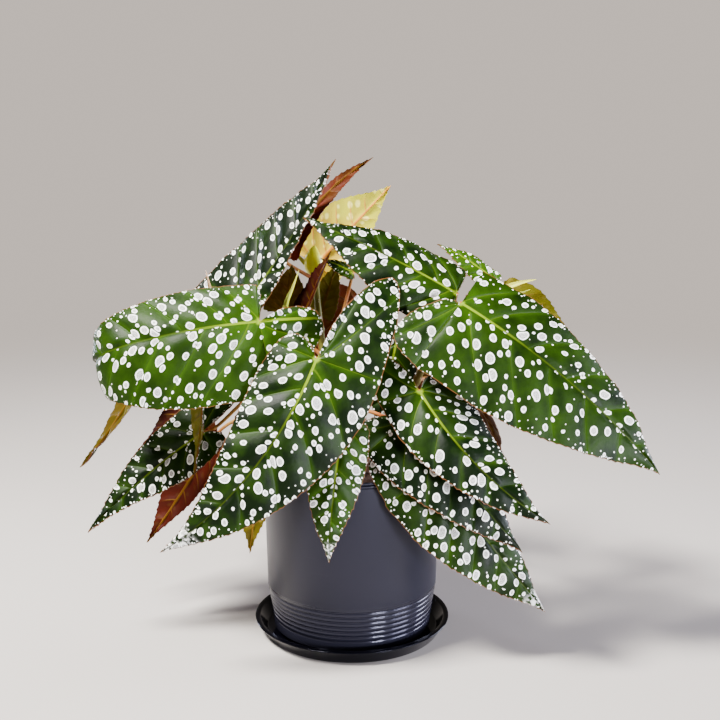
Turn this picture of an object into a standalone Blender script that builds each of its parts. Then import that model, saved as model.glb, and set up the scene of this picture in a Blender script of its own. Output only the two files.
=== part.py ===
"""A potted cane begonia: spotted, lopsided leaves on jointed canes, in a
plastic pot with its saucer and soil.

Metres, +Z up. The origin is the middle of the saucer's flat underside, and
the photograph's viewer looks along +Y.
"""
import math

import bmesh
import bpy
import numpy as np

# Driving dimensions, metres
MM = 0.001
GAP = 0.3 * MM

POT_RADIUS = 75.0 * MM
POT_TOP = 152.0 * MM
POT_WALL = 2.0 * MM
POT_FLOOR = 2.6 * MM
WALL_RADIUS = 73.9 * MM
SHOULDER_RADIUS = 71.8 * MM
SHOULDER_HEIGHT = 41.7 * MM
FOOT_RADIUS = 67.0 * MM
FOOT_BEVEL = 1.2 * MM
RIM_BEAD = 1.6 * MM
RIM_GROOVE = 1.2 * MM
RIM_ROUND = 0.4 * MM
RIDGES = 7
RIDGE_PITCH = 4.4 * MM
RIDGE_DEPTH = 1.0 * MM
RIDGE_SLOT = 1.5 * MM
DRAIN_HOLES = 6
DRAIN_RADIUS = 5.0 * MM
DRAIN_CIRCLE = 48.0 * MM
DRAIN_CUT = 10.0 * MM

SAUCER_BASE = 74.5 * MM
SAUCER_LIP = 83.0 * MM
SAUCER_LIP_WIDTH = 4.6 * MM
SAUCER_HEIGHT = 12.6 * MM
SAUCER_THICK = 2.0 * MM
SEAT_RADIUS = 60.0 * MM
SEAT_WIDTH = 5.0 * MM
SEAT_HEIGHT = 5.5 * MM

SOIL_TOP = 144.0 * MM
SOIL_CROWN = 3.0 * MM
SOIL_LUMP = 1.4 * MM
CANE_HOLE_FLOOR = 96.0 * MM
HOLE_SIDES = 12
HOLE_EASE = 1.25
SOIL_RINGS = (0.0, 0.25, 0.5, 0.75)
SOIL_WAVES = (7.0 * MM, 6.0 * MM, 11.0 * MM)
SOIL_EDGE_RATE = 4.0

TURNED_SIDES = 36
MERGE = 0.01 * MM

BLADE_THICK = 0.8 * MM
BLADE_ROWS = 10
BLADE_COLS = 2
STALK_RADIUS = 1.7 * MM
STALK_TIP_RADIUS = 1.3 * MM
STALK_GAP = 0.55 * MM
STALK_SIDES = 6
STALK_RISE = 0.3
STALK_EASE = 0.35
STALK_STEPS = 5
CANE_SIDES = 8
RINGS_A_SPAN = 3
RING_APART = 0.25
LENGTH_STEPS = 60
NEAR_PARALLEL = 0.9
JOINT_BULGE = 1.3
JOINT_HALF = 2.5 * MM

# Outline of a blade's two halves: along the midrib in leaf lengths (in lobe
# lengths where it is negative) and out from it in half-widths
BROAD_HALF = ((0.0, 0.03), (-0.38, 0.08), (-0.82, 0.36), (-1.0, 0.72),
              (-0.72, 0.93), (-0.12, 1.0), (0.17, 1.0), (0.36, 0.90),
              (0.55, 0.70), (0.72, 0.45), (0.86, 0.20), (0.95, 0.06), (1.0, 0.0))
NARROW_HALF = ((0.0, 0.03), (-0.25, 0.14), (-0.50, 0.40), (-0.45, 0.68),
               (0.0, 0.90), (0.16, 1.0), (0.34, 0.95), (0.53, 0.75),
               (0.70, 0.48), (0.85, 0.21), (0.95, 0.06), (1.0, 0.0))
VEIN_SLANT = 0.85
ARC_START = -0.5
ARC_STEPS = 150
HOOK_SPAN = 0.3
HOOK_POWER = 1.5
SICKLE_START = -0.1
WAVES = 3
WAVE_SHIFT = 1.7

# Each cane: the points of its middle line in millimetres, from its foot in
# the soil up, and its radii at foot and top in millimetres
CANES = {
    "cane_left": (((-26, -6, 98), (-26, -6, 125), (-28, -6, 152), (-46, -8, 195),
                   (-74, -8, 234), (-98, -6, 262), (-112, -4, 284)), 4.2, 2.6),
    "cane_middle": (((-8, 18, 98), (-8, 18, 125), (-9, 19, 152), (-18, 28, 200),
                     (-26, 40, 245), (-30, 52, 280), (-31, 58, 298)), 4.2, 2.4),
    "cane_right": (((31, 0, 98), (31, 0, 125), (33, 0, 152), (46, -2, 200),
                    (68, -3, 245), (98, 0, 278), (124, 2, 293)), 4.2, 2.4),
    "cane_front": (((2, -34, 98), (2, -34, 125), (2, -35, 152), (0, -40, 185),
                    (-4, -46, 210), (-8, -50, 228)), 3.8, 2.4),
    "cane_back": (((6, 46, 98), (6, 46, 125), (7, 48, 152), (12, 62, 200),
                   (20, 74, 245), (24, 82, 268)), 4.0, 2.4),
}


REAR, FRONT = (0, 1, 0), (0, -1, 0)


def leaf(name, base, tip, az, el, cane, at, hand=1, broad=0.26, narrow=0.21,
         lobe=0.20, back=0.55, belly=1.0, bend=20, hook=0, hook_at=0.55,
         sickle=0, fold=8, curl=14, wave=0.012, skew=0.0, square=0.8,
         finish="leaf_green", rows=BLADE_ROWS, lead=REAR):
    """One leaf. base and tip are in millimetres; the upper face looks to
    azimuth az (0 is the viewer, 90 is +X) and up by el degrees. Its stalk
    leaves the cane at the share at of the cane's length and meets the blade
    square on (square = 1) or along it (0). Half-widths and lobe are shares
    of the midrib's length, skew swings the lobes round the stalk, and the
    angles are degrees. lead is the side whose corner leads each triangle."""
    return dict(name=name, base=base, tip=tip, az=az, el=el, cane=cane, at=at,
                hand=hand, broad=broad, narrow=narrow, lobe=lobe, back=back,
                belly=belly, bend=bend, hook=hook, hook_at=hook_at,
                sickle=sickle, fold=fold, curl=curl, wave=wave, skew=skew,
                square=square, finish=finish, rows=rows, lead=lead)


LEAVES = (
    leaf("leaf_front", (-26, -88, 255), (-147, -104, 106), -4, 16, "cane_front", 0.97,
         broad=0.26, narrow=0.20, lobe=0.42, back=0.35, belly=0.9, bend=30,
         sickle=40, fold=5, curl=10, rows=12),
    leaf("leaf_left", (-71, -62, 279), (-190, -2, 226), -14, 22, "cane_left", 0.68,
         broad=0.31, narrow=0.18, lobe=0.27, back=0.15, skew=0.7, belly=1.35, bend=50,
         hook=75, hook_at=0.52, sickle=-8, fold=4, curl=15, rows=12, lead=FRONT),
    leaf("leaf_top_left", (-98, 18, 266), (-13, 30, 397), -42, 20, "cane_middle", 0.52,
         broad=0.38, narrow=0.10, lobe=0.30, belly=0.85, bend=-15, fold=10, curl=-14,
         square=0.5, rows=12),
    leaf("leaf_top_brown", (-57, 46, 316), (18, 54, 397), 150, -20, "cane_middle", 0.93,
         broad=0.12, narrow=0.10, lobe=0.01, bend=-20, sickle=-30, fold=0, square=0.6),
    leaf("leaf_top_pale", (-30, 82, 303), (34, 95, 370), 165, 20, "cane_middle", 0.92,
         broad=0.25, narrow=0.38, lobe=0.20, bend=10, fold=0, finish="leaf_pale"),
    leaf("leaf_right_high", (83, -38, 297), (-39, -8, 353), 20, 42, "cane_right", 0.75,
         broad=0.27, narrow=0.26, lobe=0.03, bend=20, fold=10, sickle=6, rows=12),
    leaf("leaf_right", (85, -60, 293), (240, -80, 161), 18, 30, "cane_right", 0.62,
         hand=-1, broad=0.30, narrow=0.20, lobe=0.16, back=0.0, belly=1.3,
         bend=25, fold=6, curl=8, sickle=8, square=1.0, rows=12),
    leaf("leaf_right_small", (118, -2, 300), (70, 12, 329), 10, 50, "cane_right", 0.95,
         broad=0.22, narrow=0.20, lobe=0.10, bend=30, square=0.6, rows=8),
    leaf("leaf_right_back", (116, 22, 276), (204, 22, 216), 175, -20, "cane_right", 0.85,
         broad=0.30, narrow=0.32, lobe=0.10, wave=0.025),
    leaf("leaf_front_right", (53, -72, 226), (152, -108, 130), 22, 22, "cane_right", 0.5,
         hand=-1, broad=0.22, narrow=0.25, lobe=0.38, back=0.4, sickle=-38, rows=12),
    leaf("leaf_dark_right", (43, -62, 200), (134, -86, 99), 28, 24, "cane_front", 0.75,
         hand=-1, broad=0.30, narrow=0.22, lobe=0.15, bend=25, sickle=-10),
    leaf("leaf_low_right", (64, -66, 160), (156, -70, 42), 30, 10, "cane_right", 0.38,
         hand=-1, broad=0.30, narrow=0.20, lobe=0.25, bend=20, sickle=-10),
    leaf("leaf_front_low", (-6, -88, 203), (-17, -100, 96), -4, 12, "cane_front", 0.66,
         hand=-1, broad=0.24, narrow=0.21, lobe=0.15, bend=12, hook=25, sickle=-6),
    leaf("leaf_left_low", (-121, -30, 181), (-218, -30, 95), -18, 28, "cane_left", 0.58,
         hand=-1, broad=0.21, narrow=0.20, lobe=0.40, belly=0.8, bend=10, sickle=-10,
         fold=-8),
    leaf("leaf_left_red", (-124, 12, 211), (-186, 10, 148), 120, -30, "cane_left", 0.76,
         broad=0.22, narrow=0.14, lobe=0.10, bend=10, square=0.4, rows=8),
    leaf("leaf_left_hanging", (-115, 5, 165), (-175, 0, 75), 165, -20, "cane_left", 0.48,
         broad=0.22, narrow=0.16, lobe=0.15, bend=15, square=0.4),
    leaf("leaf_left_edge", (-117, -48, 233), (-126, -52, 153), 115, -10, "cane_left", 0.84,
         broad=0.22, narrow=0.16, lobe=0.10, bend=10, square=0.4, rows=8),
    leaf("leaf_low_left", (-70, -66, 184), (-81, -70, 92), 175, -10, "cane_left", 0.42,
         broad=0.25, narrow=0.20, lobe=0.10, bend=10, square=0.3, rows=8),
    leaf("leaf_far_left", (-160, 15, 250), (-231, 10, 139), 120, -15, "cane_left", 0.96,
         broad=0.14, narrow=0.11, lobe=0.10, bend=30, sickle=20),
    leaf("leaf_young", (-39, 28, 267), (-17, 24, 322), -60, 10, "cane_middle", 0.7,
         broad=0.21, narrow=0.21, lobe=0.03, bend=0, fold=-40, square=0.8, rows=8),
    leaf("leaf_middle_left", (-57, 41, 268), (-50, 36, 309), 180, -10, "cane_middle", 0.6,
         broad=0.50, narrow=0.50, lobe=0.10, bend=0, fold=14, square=0.2, rows=8),
    leaf("leaf_middle_right", (-27, 60, 264), (-12, 64, 308), 180, -10, "cane_middle", 0.5,
         broad=0.28, narrow=0.28, lobe=0.10, bend=0, fold=14, square=0.2, rows=8),
    leaf("leaf_middle_dark", (1, 45, 301), (-27, 48, 312), -10, 50, "cane_middle", 0.56,
         broad=0.26, narrow=0.26, lobe=0.10, bend=20, rows=8),
    leaf("leaf_inner_right", (38, -20, 262), (20, -30, 180), -5, 10, "cane_right", 0.36,
         broad=0.28, narrow=0.26, lobe=0.10, bend=10, square=0.85),
    leaf("leaf_back", (6, 110, 262), (-6, 150, 140), 180, 25, "cane_back", 0.97,
         broad=0.30, narrow=0.24, lobe=0.25, bend=35),
    leaf("leaf_back_left", (-48, 96, 232), (-104, 138, 128), 215, 25, "cane_back", 0.72,
         broad=0.30, narrow=0.24, lobe=0.25, bend=35),
    leaf("leaf_back_right", (58, 92, 236), (112, 136, 142), 145, 25, "cane_back", 0.8,
         hand=-1, broad=0.30, narrow=0.24, lobe=0.25, bend=35),
    leaf("leaf_back_high_left", (-104, 62, 250), (-176, 94, 172), 235, 30, "cane_left", 0.58,
         broad=0.30, narrow=0.24, lobe=0.15, bend=30),
    leaf("leaf_back_high_right", (96, 56, 266), (172, 88, 208), 130, 35, "cane_right", 0.82,
         hand=-1, broad=0.30, narrow=0.24, lobe=0.15, bend=30),
    leaf("leaf_back_low_left", (-36, 74, 186), (-84, 104, 88), 215, 22, "cane_back", 0.48,
         broad=0.30, narrow=0.24, lobe=0.25, bend=30),
    leaf("leaf_back_low_right", (44, 84, 190), (64, 122, 96), 160, 22, "cane_back", 0.56,
         hand=-1, broad=0.30, narrow=0.24, lobe=0.25, bend=30),
    leaf("leaf_side_right", (90, 34, 214), (134, 62, 122), 120, 25, "cane_right", 0.56,
         broad=0.28, narrow=0.24, lobe=0.20, bend=30),
)

# Stipules, buds and short side shoots: the cane, the share of its length
# where each starts, and its points (x, y, z, radius) in millimetres
SHOOTS = (
    ("cane_left", 0.55, ((-64, -8, 225, 1.8), (-56, -10, 262, 1.7), (-54, -10, 284, 1.9),
                         (-50, -9, 292, 2.2), (-42, -8, 312, 0.3))),
    ("cane_left", 0.97, ((-112, -6, 287, 2.4), (-116, -6, 300, 1.7), (-118, -6, 311, 0.3))),
    ("cane_middle", 0.98, ((-32, 58, 301, 3.5), (-33, 60, 306, 6.2), (-33, 60, 313, 6.0),
                           (-32, 60, 321, 1.0))),
    ("cane_middle", 0.95, ((-41, 60, 307, 2.4), (-48, 63, 315, 2.2), (-54, 66, 322, 0.4))),
    ("cane_right", 0.97, ((130, 2, 296, 2.6), (140, 1, 299, 2.0), (151, 0, 302, 0.3))),
    ("cane_right", 0.98, ((128, 3, 292, 2.2), (138, 4, 291, 1.7), (147, 5, 293, 0.3))),
    ("cane_back", 0.95, ((24, 83, 272, 2.4), (27, 85, 282, 1.8), (29, 87, 292, 0.3))),
)

COLOURS = {
    "leaf_green": ((0.045, 0.13, 0.03, 1.0), 0.38),
    "leaf_pale": ((0.40, 0.42, 0.10, 1.0), 0.45),
    "cane": ((0.20, 0.13, 0.05, 1.0), 0.5),
    "pot_plastic": ((0.055, 0.055, 0.075, 1.0), 0.35),
    "saucer_plastic": ((0.012, 0.012, 0.018, 1.0), 0.18),
    "soil": ((0.055, 0.026, 0.018, 1.0), 0.95),
}


def clear_scene():
    for obj in list(bpy.data.objects):
        bpy.data.objects.remove(obj, do_unlink=True)


def collection(name):
    group = bpy.data.collections.new(name)
    bpy.context.scene.collection.children.link(group)
    return group


def material(name):
    """The Principled material of one finish, made once."""
    found = bpy.data.materials.get(name)
    if found:
        return found
    colour, roughness = COLOURS[name]
    made = bpy.data.materials.new(name)
    made.use_nodes = True
    shader = made.node_tree.nodes["Principled BSDF"]
    shader.inputs["Base Color"].default_value = colour
    shader.inputs["Roughness"].default_value = roughness
    shader.inputs["Metallic"].default_value = 0.0
    made.diffuse_color = colour
    return made


def add_object(name, mesh, group, finish):
    obj = bpy.data.objects.new(name, mesh)
    group.objects.link(obj)
    if finish:
        mesh.materials.clear()
        mesh.materials.append(material(finish))
    return obj


def as_cutter(obj):
    obj.hide_render = True
    obj.display_type = "WIRE"


def turned(name, profile, group, finish):
    """A closed profile of (radius, height) points, top to bottom down its
    outer side, spun round +Z."""
    mesh = bpy.data.meshes.new(name)
    points = [(radius, 0.0, height) for radius, height in profile]
    edges = [(i, i + 1) for i in range(len(points) - 1)]
    mesh.from_pydata(points, edges, [])
    obj = add_object(name, mesh, group, finish)
    screw = obj.modifiers.new("turn", "SCREW")
    screw.angle = math.tau
    screw.steps = TURNED_SIDES
    screw.render_steps = TURNED_SIDES
    screw.use_merge_vertices = True
    screw.merge_threshold = MERGE
    return obj


def applied(obj):
    """The object with its modifiers turned into its own mesh."""
    graph = bpy.context.evaluated_depsgraph_get()
    mesh = bpy.data.meshes.new_from_object(obj.evaluated_get(graph))
    obj.modifiers.clear()
    obj.data = mesh
    return obj


def cut(obj, cutter, operation="DIFFERENCE"):
    step = obj.modifiers.new("cut", "BOOLEAN")
    step.operation = operation
    step.object = cutter


def catmull(points, share):
    """Points of a Catmull-Rom curve through the given ones, at the shares
    0..1 of the way along."""
    given = np.asarray(points, dtype=float)
    padded = np.vstack([2 * given[0] - given[1], given, 2 * given[-1] - given[-2]])
    spans = len(given) - 1
    place = np.clip(share, 0, 1) * spans
    first = np.minimum(place.astype(int), spans - 1)
    f = (place - first)[:, None]
    a, b, c, d = (padded[first + k] for k in range(4))
    return 0.5 * (2 * b + (c - a) * f + (2 * a - 5 * b + 4 * c - d) * f**2
                  + (3 * b - a - 3 * c + d) * f**3)


def outward(az, el):
    """The direction that a face looks to."""
    a, e = math.radians(az), math.radians(el)
    return np.array([math.sin(a) * math.cos(e), -math.cos(a) * math.cos(e), math.sin(e)])


def midrib(spec):
    """The blade's middle line and its frame. The line's pitch falls by bend
    along the blade and by hook near the tip, its heading turns by sickle,
    and the whole is turned and scaled so that it runs from base to tip."""
    t = np.linspace(ARC_START, 1, ARC_STEPS + 1)
    turn = np.clip((t - spec["hook_at"]) / HOOK_SPAN, 0, 1) ** HOOK_POWER
    pitch = np.radians(spec["bend"]) * (0.5 - t) - np.radians(spec["hook"]) * turn
    head = np.radians(spec["sickle"]) * (0.5 - np.clip(t, SICKLE_START, 1))
    along = np.stack([np.cos(pitch) * np.cos(head), np.cos(pitch) * np.sin(head),
                      np.sin(pitch)], -1)
    face = np.stack([-np.sin(pitch) * np.cos(head), -np.sin(pitch) * np.sin(head),
                     np.cos(pitch)], -1)
    step = (along[1:] + along[:-1]) / 2 * (t[1] - t[0])
    place = np.vstack([np.zeros(3), np.cumsum(step, 0)])
    place -= sample(place, t, np.array([0.0]))
    end = place[-1]
    yaw, rise = np.arctan2(end[1], end[0]), np.arctan2(end[2], np.hypot(end[0], end[1]))
    cy, sy, cr, sr = np.cos(yaw), np.sin(yaw), np.cos(rise), np.sin(rise)
    unturn = (np.array([[cr, 0, sr], [0, 1, 0], [-sr, 0, cr]])
              @ np.array([[cy, sy, 0], [-sy, cy, 0], [0, 0, 1]]))
    base, tip = np.array(spec["base"]) * MM, np.array(spec["tip"]) * MM
    chord = tip - base
    a = chord / np.linalg.norm(chord)
    n = outward(spec["az"], spec["el"])
    n = n - n @ a * a
    n /= np.linalg.norm(n)
    world = np.stack([a, np.cross(n, a), n])
    length = np.linalg.norm(chord) / np.linalg.norm(end)
    place = (place @ unturn.T) @ world * length + base
    along = (along @ unturn.T) @ world
    face = (face @ unturn.T) @ world
    return t, place, along, face, np.cross(face, along), length


def sample(values, t, at):
    """Rows of values, known at t, read at the places at."""
    return np.stack([np.interp(at, t, values[:, k]) for k in range(values.shape[1])], -1)


def blade_points(spec, rows, cols):
    """Grid of the blade's points, (rows + 1) by (2 cols + 1). Each row is a
    slanting line from the midrib out to one point of the outline, so rows
    run as the veins do. The half-width is rolled by fold and curl, and the
    margin rises and falls in waves."""
    t, place, along, face, side, length = midrib(spec)
    grid = np.zeros((rows + 1, 2 * cols + 1, 3))
    s = np.linspace(0, 1, rows + 1)
    for sign in (-1, 1):
        is_broad = sign == spec["hand"]
        half = spec["broad"] if is_broad else spec["narrow"]
        lobe = spec["lobe"] if is_broad else spec["lobe"] * spec["back"]
        edge = catmull(BROAD_HALF if is_broad else NARROW_HALF, s)
        forward = np.clip(edge[:, 0], 0, 1) ** (1 / spec["belly"])
        ex = np.where(edge[:, 0] < 0, edge[:, 0] * lobe, forward)
        ey = edge[:, 1] * half
        root = np.maximum(0, ex - VEIN_SLANT * ey)
        root[-1] = 1.0
        swell = np.sqrt(np.sin(np.pi * s))
        shift = 0 if sign > 0 else WAVE_SHIFT
        ripple = spec["wave"] * swell * np.sin(math.tau * WAVES * s + shift)
        fold = np.radians(spec["fold"])
        rate = np.radians(spec["curl"]) / half
        for c in range(cols + 1):
            v = c / cols
            x = root + v * (ex - root)
            across = sign * v * ey + spec["hand"] * spec["skew"] * np.minimum(0, x)
            y = np.abs(across)
            out = np.sign(across) * (np.sin(fold + rate * y) - np.sin(fold)) / rate
            drop = (np.cos(fold) - np.cos(fold + rate * y)) / rate
            lift = ripple * v**2 - drop
            grid[:, cols + sign * c] = (sample(place, t, x)
                                        + sample(side, t, x) * (out * length)[:, None]
                                        + sample(face, t, x) * (lift * length)[:, None])
    return grid


def make_leaf(spec, group):
    """A grid moved onto the blade's formula, split into triangles and given
    its thickness."""
    rows, cols = spec["rows"], BLADE_COLS
    grid = blade_points(spec, rows, cols)
    bm = bmesh.new()
    bmesh.ops.create_grid(bm, x_segments=2 * cols, y_segments=rows, size=1.0)
    for vert in bm.verts:
        j = round((vert.co.x + 1) / 2 * 2 * cols)
        i = round((vert.co.y + 1) / 2 * rows)
        vert.co = grid[i, 2 * cols - j]
    bmesh.ops.remove_doubles(bm, verts=bm.verts, dist=MERGE)
    bmesh.ops.triangulate(bm, faces=bm.faces)
    mesh = bpy.data.meshes.new(spec["name"])
    bm.to_mesh(mesh)
    bm.free()
    obj = add_object(spec["name"], mesh, group, spec["finish"])
    thick = obj.modifiers.new("thickness", "SOLIDIFY")
    thick.thickness = BLADE_THICK
    thick.offset = 0.0
    return listed_from(applied(obj), spec["lead"])


def listed_from(obj, lead):
    """Lists every triangle from its corner farthest along lead, which leaves
    the shape as it is. A test that aims at the faces of a thin curved solid
    to tell its inside from its outside goes astray less often so."""
    bm = bmesh.new()
    bm.from_mesh(obj.data)
    bmesh.ops.triangulate(bm, faces=bm.faces)
    points = np.array([vertex.co for vertex in bm.verts])
    faces = np.array([[vertex.index for vertex in face.verts] for face in bm.faces])
    bm.free()
    first = (points[faces] @ np.array(lead, dtype=float)).argmax(axis=1)
    turn = (first[:, None] + np.arange(3)) % 3
    mesh = bpy.data.meshes.new(obj.name)
    mesh.from_pydata(points.tolist(), [], np.take_along_axis(faces, turn, axis=1).tolist())
    for finish in obj.data.materials:
        mesh.materials.append(finish)
    obj.data = mesh
    return obj


def tube(name, points, radii, sides, group):
    """A round bar along the points: rings square to the path, each turned
    no more than the path itself turns, with flat ends."""
    points, radii = np.asarray(points, dtype=float), np.asarray(radii, dtype=float)
    along = np.gradient(points, axis=0)
    along /= np.linalg.norm(along, axis=1)[:, None]
    start = np.array([1.0, 0.0, 0.0])
    if abs(along[0] @ start) > NEAR_PARALLEL:
        start = np.array([0.0, 1.0, 0.0])
    angle = np.arange(sides) * math.tau / sides
    bm = bmesh.new()
    rings = []
    for place, forward, radius in zip(points, along, radii):
        start = start - start @ forward * forward
        start /= np.linalg.norm(start)
        across = np.cross(forward, start)
        rim = (place + radius * (np.cos(angle)[:, None] * start
                                 + np.sin(angle)[:, None] * across))
        rings.append([bm.verts.new(p) for p in rim])
    for low, high in zip(rings, rings[1:]):
        for k in range(sides):
            near = (k + 1) % sides
            bm.faces.new((low[k], low[near], high[near], high[k]))
    bm.faces.new(list(reversed(rings[0])))
    bm.faces.new(rings[-1])
    mesh = bpy.data.meshes.new(name)
    bm.to_mesh(mesh)
    bm.free()
    return add_object(name, mesh, group, None)


def cane_line(name, share):
    """Points of a cane's middle line, in metres, at the shares given."""
    return catmull(np.array(CANES[name][0]) * MM, np.atleast_1d(share))


def cane_radius(name, share):
    """A cane's radius: it tapers evenly from foot to top."""
    _, foot, top = CANES[name]
    return (foot + (top - foot) * np.asarray(share)) * MM


def stalk_path(spec):
    """A leaf stalk's middle line: out of the cane, up, and onto the back of
    the blade's base, along its face, as one cubic curve."""
    _, place, along, face, _, _ = midrib(spec)
    zero = round(-ARC_START / (1 - ARC_START) * ARC_STEPS)
    heading = face[zero] * spec["square"] + along[zero] * (1 - spec["square"])
    heading /= np.linalg.norm(heading)
    slant = abs(heading @ along[zero])
    end = place[zero] - face[zero] * (BLADE_THICK / 2 + STALK_GAP + STALK_TIP_RADIUS * slant)
    start = cane_line(spec["cane"], spec["at"])[0]
    reach = np.linalg.norm(end - start)
    out = end - start
    out[2] = max(out[2], STALK_RISE * reach)
    out /= np.linalg.norm(out)
    leave = start + out * reach * STALK_EASE
    arrive = end - heading * reach * STALK_EASE
    u = np.linspace(0, 1, STALK_STEPS + 1)[:, None]
    return ((1 - u)**3 * start + 3 * (1 - u)**2 * u * leave
            + 3 * (1 - u) * u**2 * arrive + u**3 * end)


def make_cane(name, group, scratch):
    """One cane with the swollen joints, stalks and shoots that grow on it,
    joined in one body."""
    share = np.linspace(0, 1, RINGS_A_SPAN * (len(CANES[name][0]) - 1) + 1)
    joints = sorted({spec["at"] for spec in LEAVES if spec["cane"] == name})
    length = cane_length(name)
    half = JOINT_HALF / length
    rings = sorted(set(share) | {min(1.0, max(0.0, at + d)) for at in joints
                                 for d in (-half, 0.0, half)})
    rings = [r for i, r in enumerate(rings)
             if i == 0 or r - rings[i - 1] > half * RING_APART]
    radii = [float(cane_radius(name, r)) * (JOINT_BULGE if r in joints else 1.0)
             for r in rings]
    pieces = [tube(name, cane_line(name, np.array(rings)), radii, CANE_SIDES, group)]
    for spec in LEAVES:
        if spec["cane"] == name:
            radii = np.linspace(STALK_RADIUS, STALK_TIP_RADIUS, STALK_STEPS + 1)
            pieces.append(tube(spec["name"] + "_stalk", stalk_path(spec), radii,
                               STALK_SIDES, scratch))
    for owner, at, points in SHOOTS:
        if owner == name:
            line = np.vstack([cane_line(name, at), np.array(points)[:, :3] * MM])
            radii = np.array([points[0][3]] + [p[3] for p in points]) * MM
            pieces.append(tube(name + "_shoot", line, radii, STALK_SIDES, scratch))
    return join(pieces, scratch, "cane")


def cane_length(name):
    line = cane_line(name, np.linspace(0, 1, LENGTH_STEPS))
    return float(np.sum(np.linalg.norm(np.diff(line, axis=0), axis=1)))


def join(pieces, scratch, finish):
    """The first piece with the others united to it and then removed."""
    body, others = pieces[0], pieces[1:]
    for other in others:
        cut(body, other, "UNION")
        applied(body)
        bpy.data.objects.remove(other, do_unlink=True)
    body.data.materials.clear()
    body.data.materials.append(material(finish))
    return body


def pot_profile():
    """Closed profile of the pot: down the outside, in under the foot, and
    up the inside."""
    points = []
    top, radius = POT_TOP, POT_RADIUS
    points += [(radius - RIM_ROUND, top), (radius, top - RIM_ROUND),
               (radius, top - RIM_BEAD), (WALL_RADIUS, top - RIM_BEAD - RIM_ROUND)]
    second = top - RIM_BEAD - RIM_GROOVE
    points += [(WALL_RADIUS, second), (radius - RIM_ROUND, second - RIM_ROUND),
               (radius - RIM_ROUND, second - RIM_BEAD),
               (WALL_RADIUS, second - RIM_BEAD - RIM_ROUND)]
    for i in range(RIDGES):
        high = SHOULDER_HEIGHT - i * RIDGE_PITCH
        fall = (SHOULDER_RADIUS - FOOT_RADIUS) / RIDGES
        edge = SHOULDER_RADIUS - i * fall
        points += [(edge, high), (edge - RIDGE_DEPTH, high - RIDGE_SLOT / 2),
                   (edge - fall, high - RIDGE_SLOT)]
    foot = foot_height()
    points += [(FOOT_RADIUS, foot + FOOT_BEVEL), (FOOT_RADIUS - FOOT_BEVEL, foot), (0.0, foot)]
    points.append((0.0, foot + POT_FLOOR))
    points += [(FOOT_RADIUS - POT_WALL - RIDGE_DEPTH, foot + POT_FLOOR),
               (SHOULDER_RADIUS - POT_WALL, SHOULDER_HEIGHT),
               (WALL_RADIUS - POT_WALL, top - RIM_ROUND), (WALL_RADIUS - POT_WALL + RIM_ROUND, top)]
    points.append(points[0])
    return points


def foot_height():
    """The pot stands on the saucer's seat ring."""
    return SEAT_HEIGHT + GAP


def pot_inside(height):
    """The pot's inner radius at a height above its floor."""
    low = foot_height() + POT_FLOOR
    heights = (low, SHOULDER_HEIGHT, POT_TOP)
    radii = (FOOT_RADIUS - POT_WALL - RIDGE_DEPTH, SHOULDER_RADIUS - POT_WALL,
             WALL_RADIUS - POT_WALL)
    return float(np.interp(height, heights, radii))


def make_pot(group, cutters):
    """The turned pot with a ring of drain holes through its floor."""
    pot = turned("pot", pot_profile(), group, "pot_plastic")
    for k in range(DRAIN_HOLES):
        angle = k * math.tau / DRAIN_HOLES
        place = (DRAIN_CIRCLE * math.cos(angle), DRAIN_CIRCLE * math.sin(angle), foot_height())
        bpy.ops.mesh.primitive_cylinder_add(vertices=HOLE_SIDES, radius=DRAIN_RADIUS,
                                            depth=DRAIN_CUT, location=place)
        hole = bpy.context.object
        hole.name = f"drain_cutter_{k + 1}"
        move_to(hole, cutters)
        as_cutter(hole)
        cut(pot, hole)
    return pot


def move_to(obj, group):
    for other in list(obj.users_collection):
        other.objects.unlink(obj)
    group.objects.link(obj)


def make_saucer(group):
    """A shallow dish: flat underside, flared wall, flat lip, and a raised
    ring that the pot stands on."""
    lip, high, thick = SAUCER_LIP, SAUCER_HEIGHT, SAUCER_THICK
    inner = lip - SAUCER_LIP_WIDTH
    profile = [(inner, high), (lip - thick / 4, high), (lip, high - thick / 2),
               (lip - thick / 2, high - thick), (lip - thick, high - thick),
               (SAUCER_BASE, 0.0), (0.0, 0.0), (0.0, thick),
               (SEAT_RADIUS - SEAT_WIDTH, thick),
               (SEAT_RADIUS - SEAT_WIDTH, SEAT_HEIGHT), (SEAT_RADIUS, SEAT_HEIGHT),
               (SEAT_RADIUS, thick), (SAUCER_BASE - thick, thick), (inner, high)]
    return turned("saucer", profile, group, "saucer_plastic")


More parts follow.
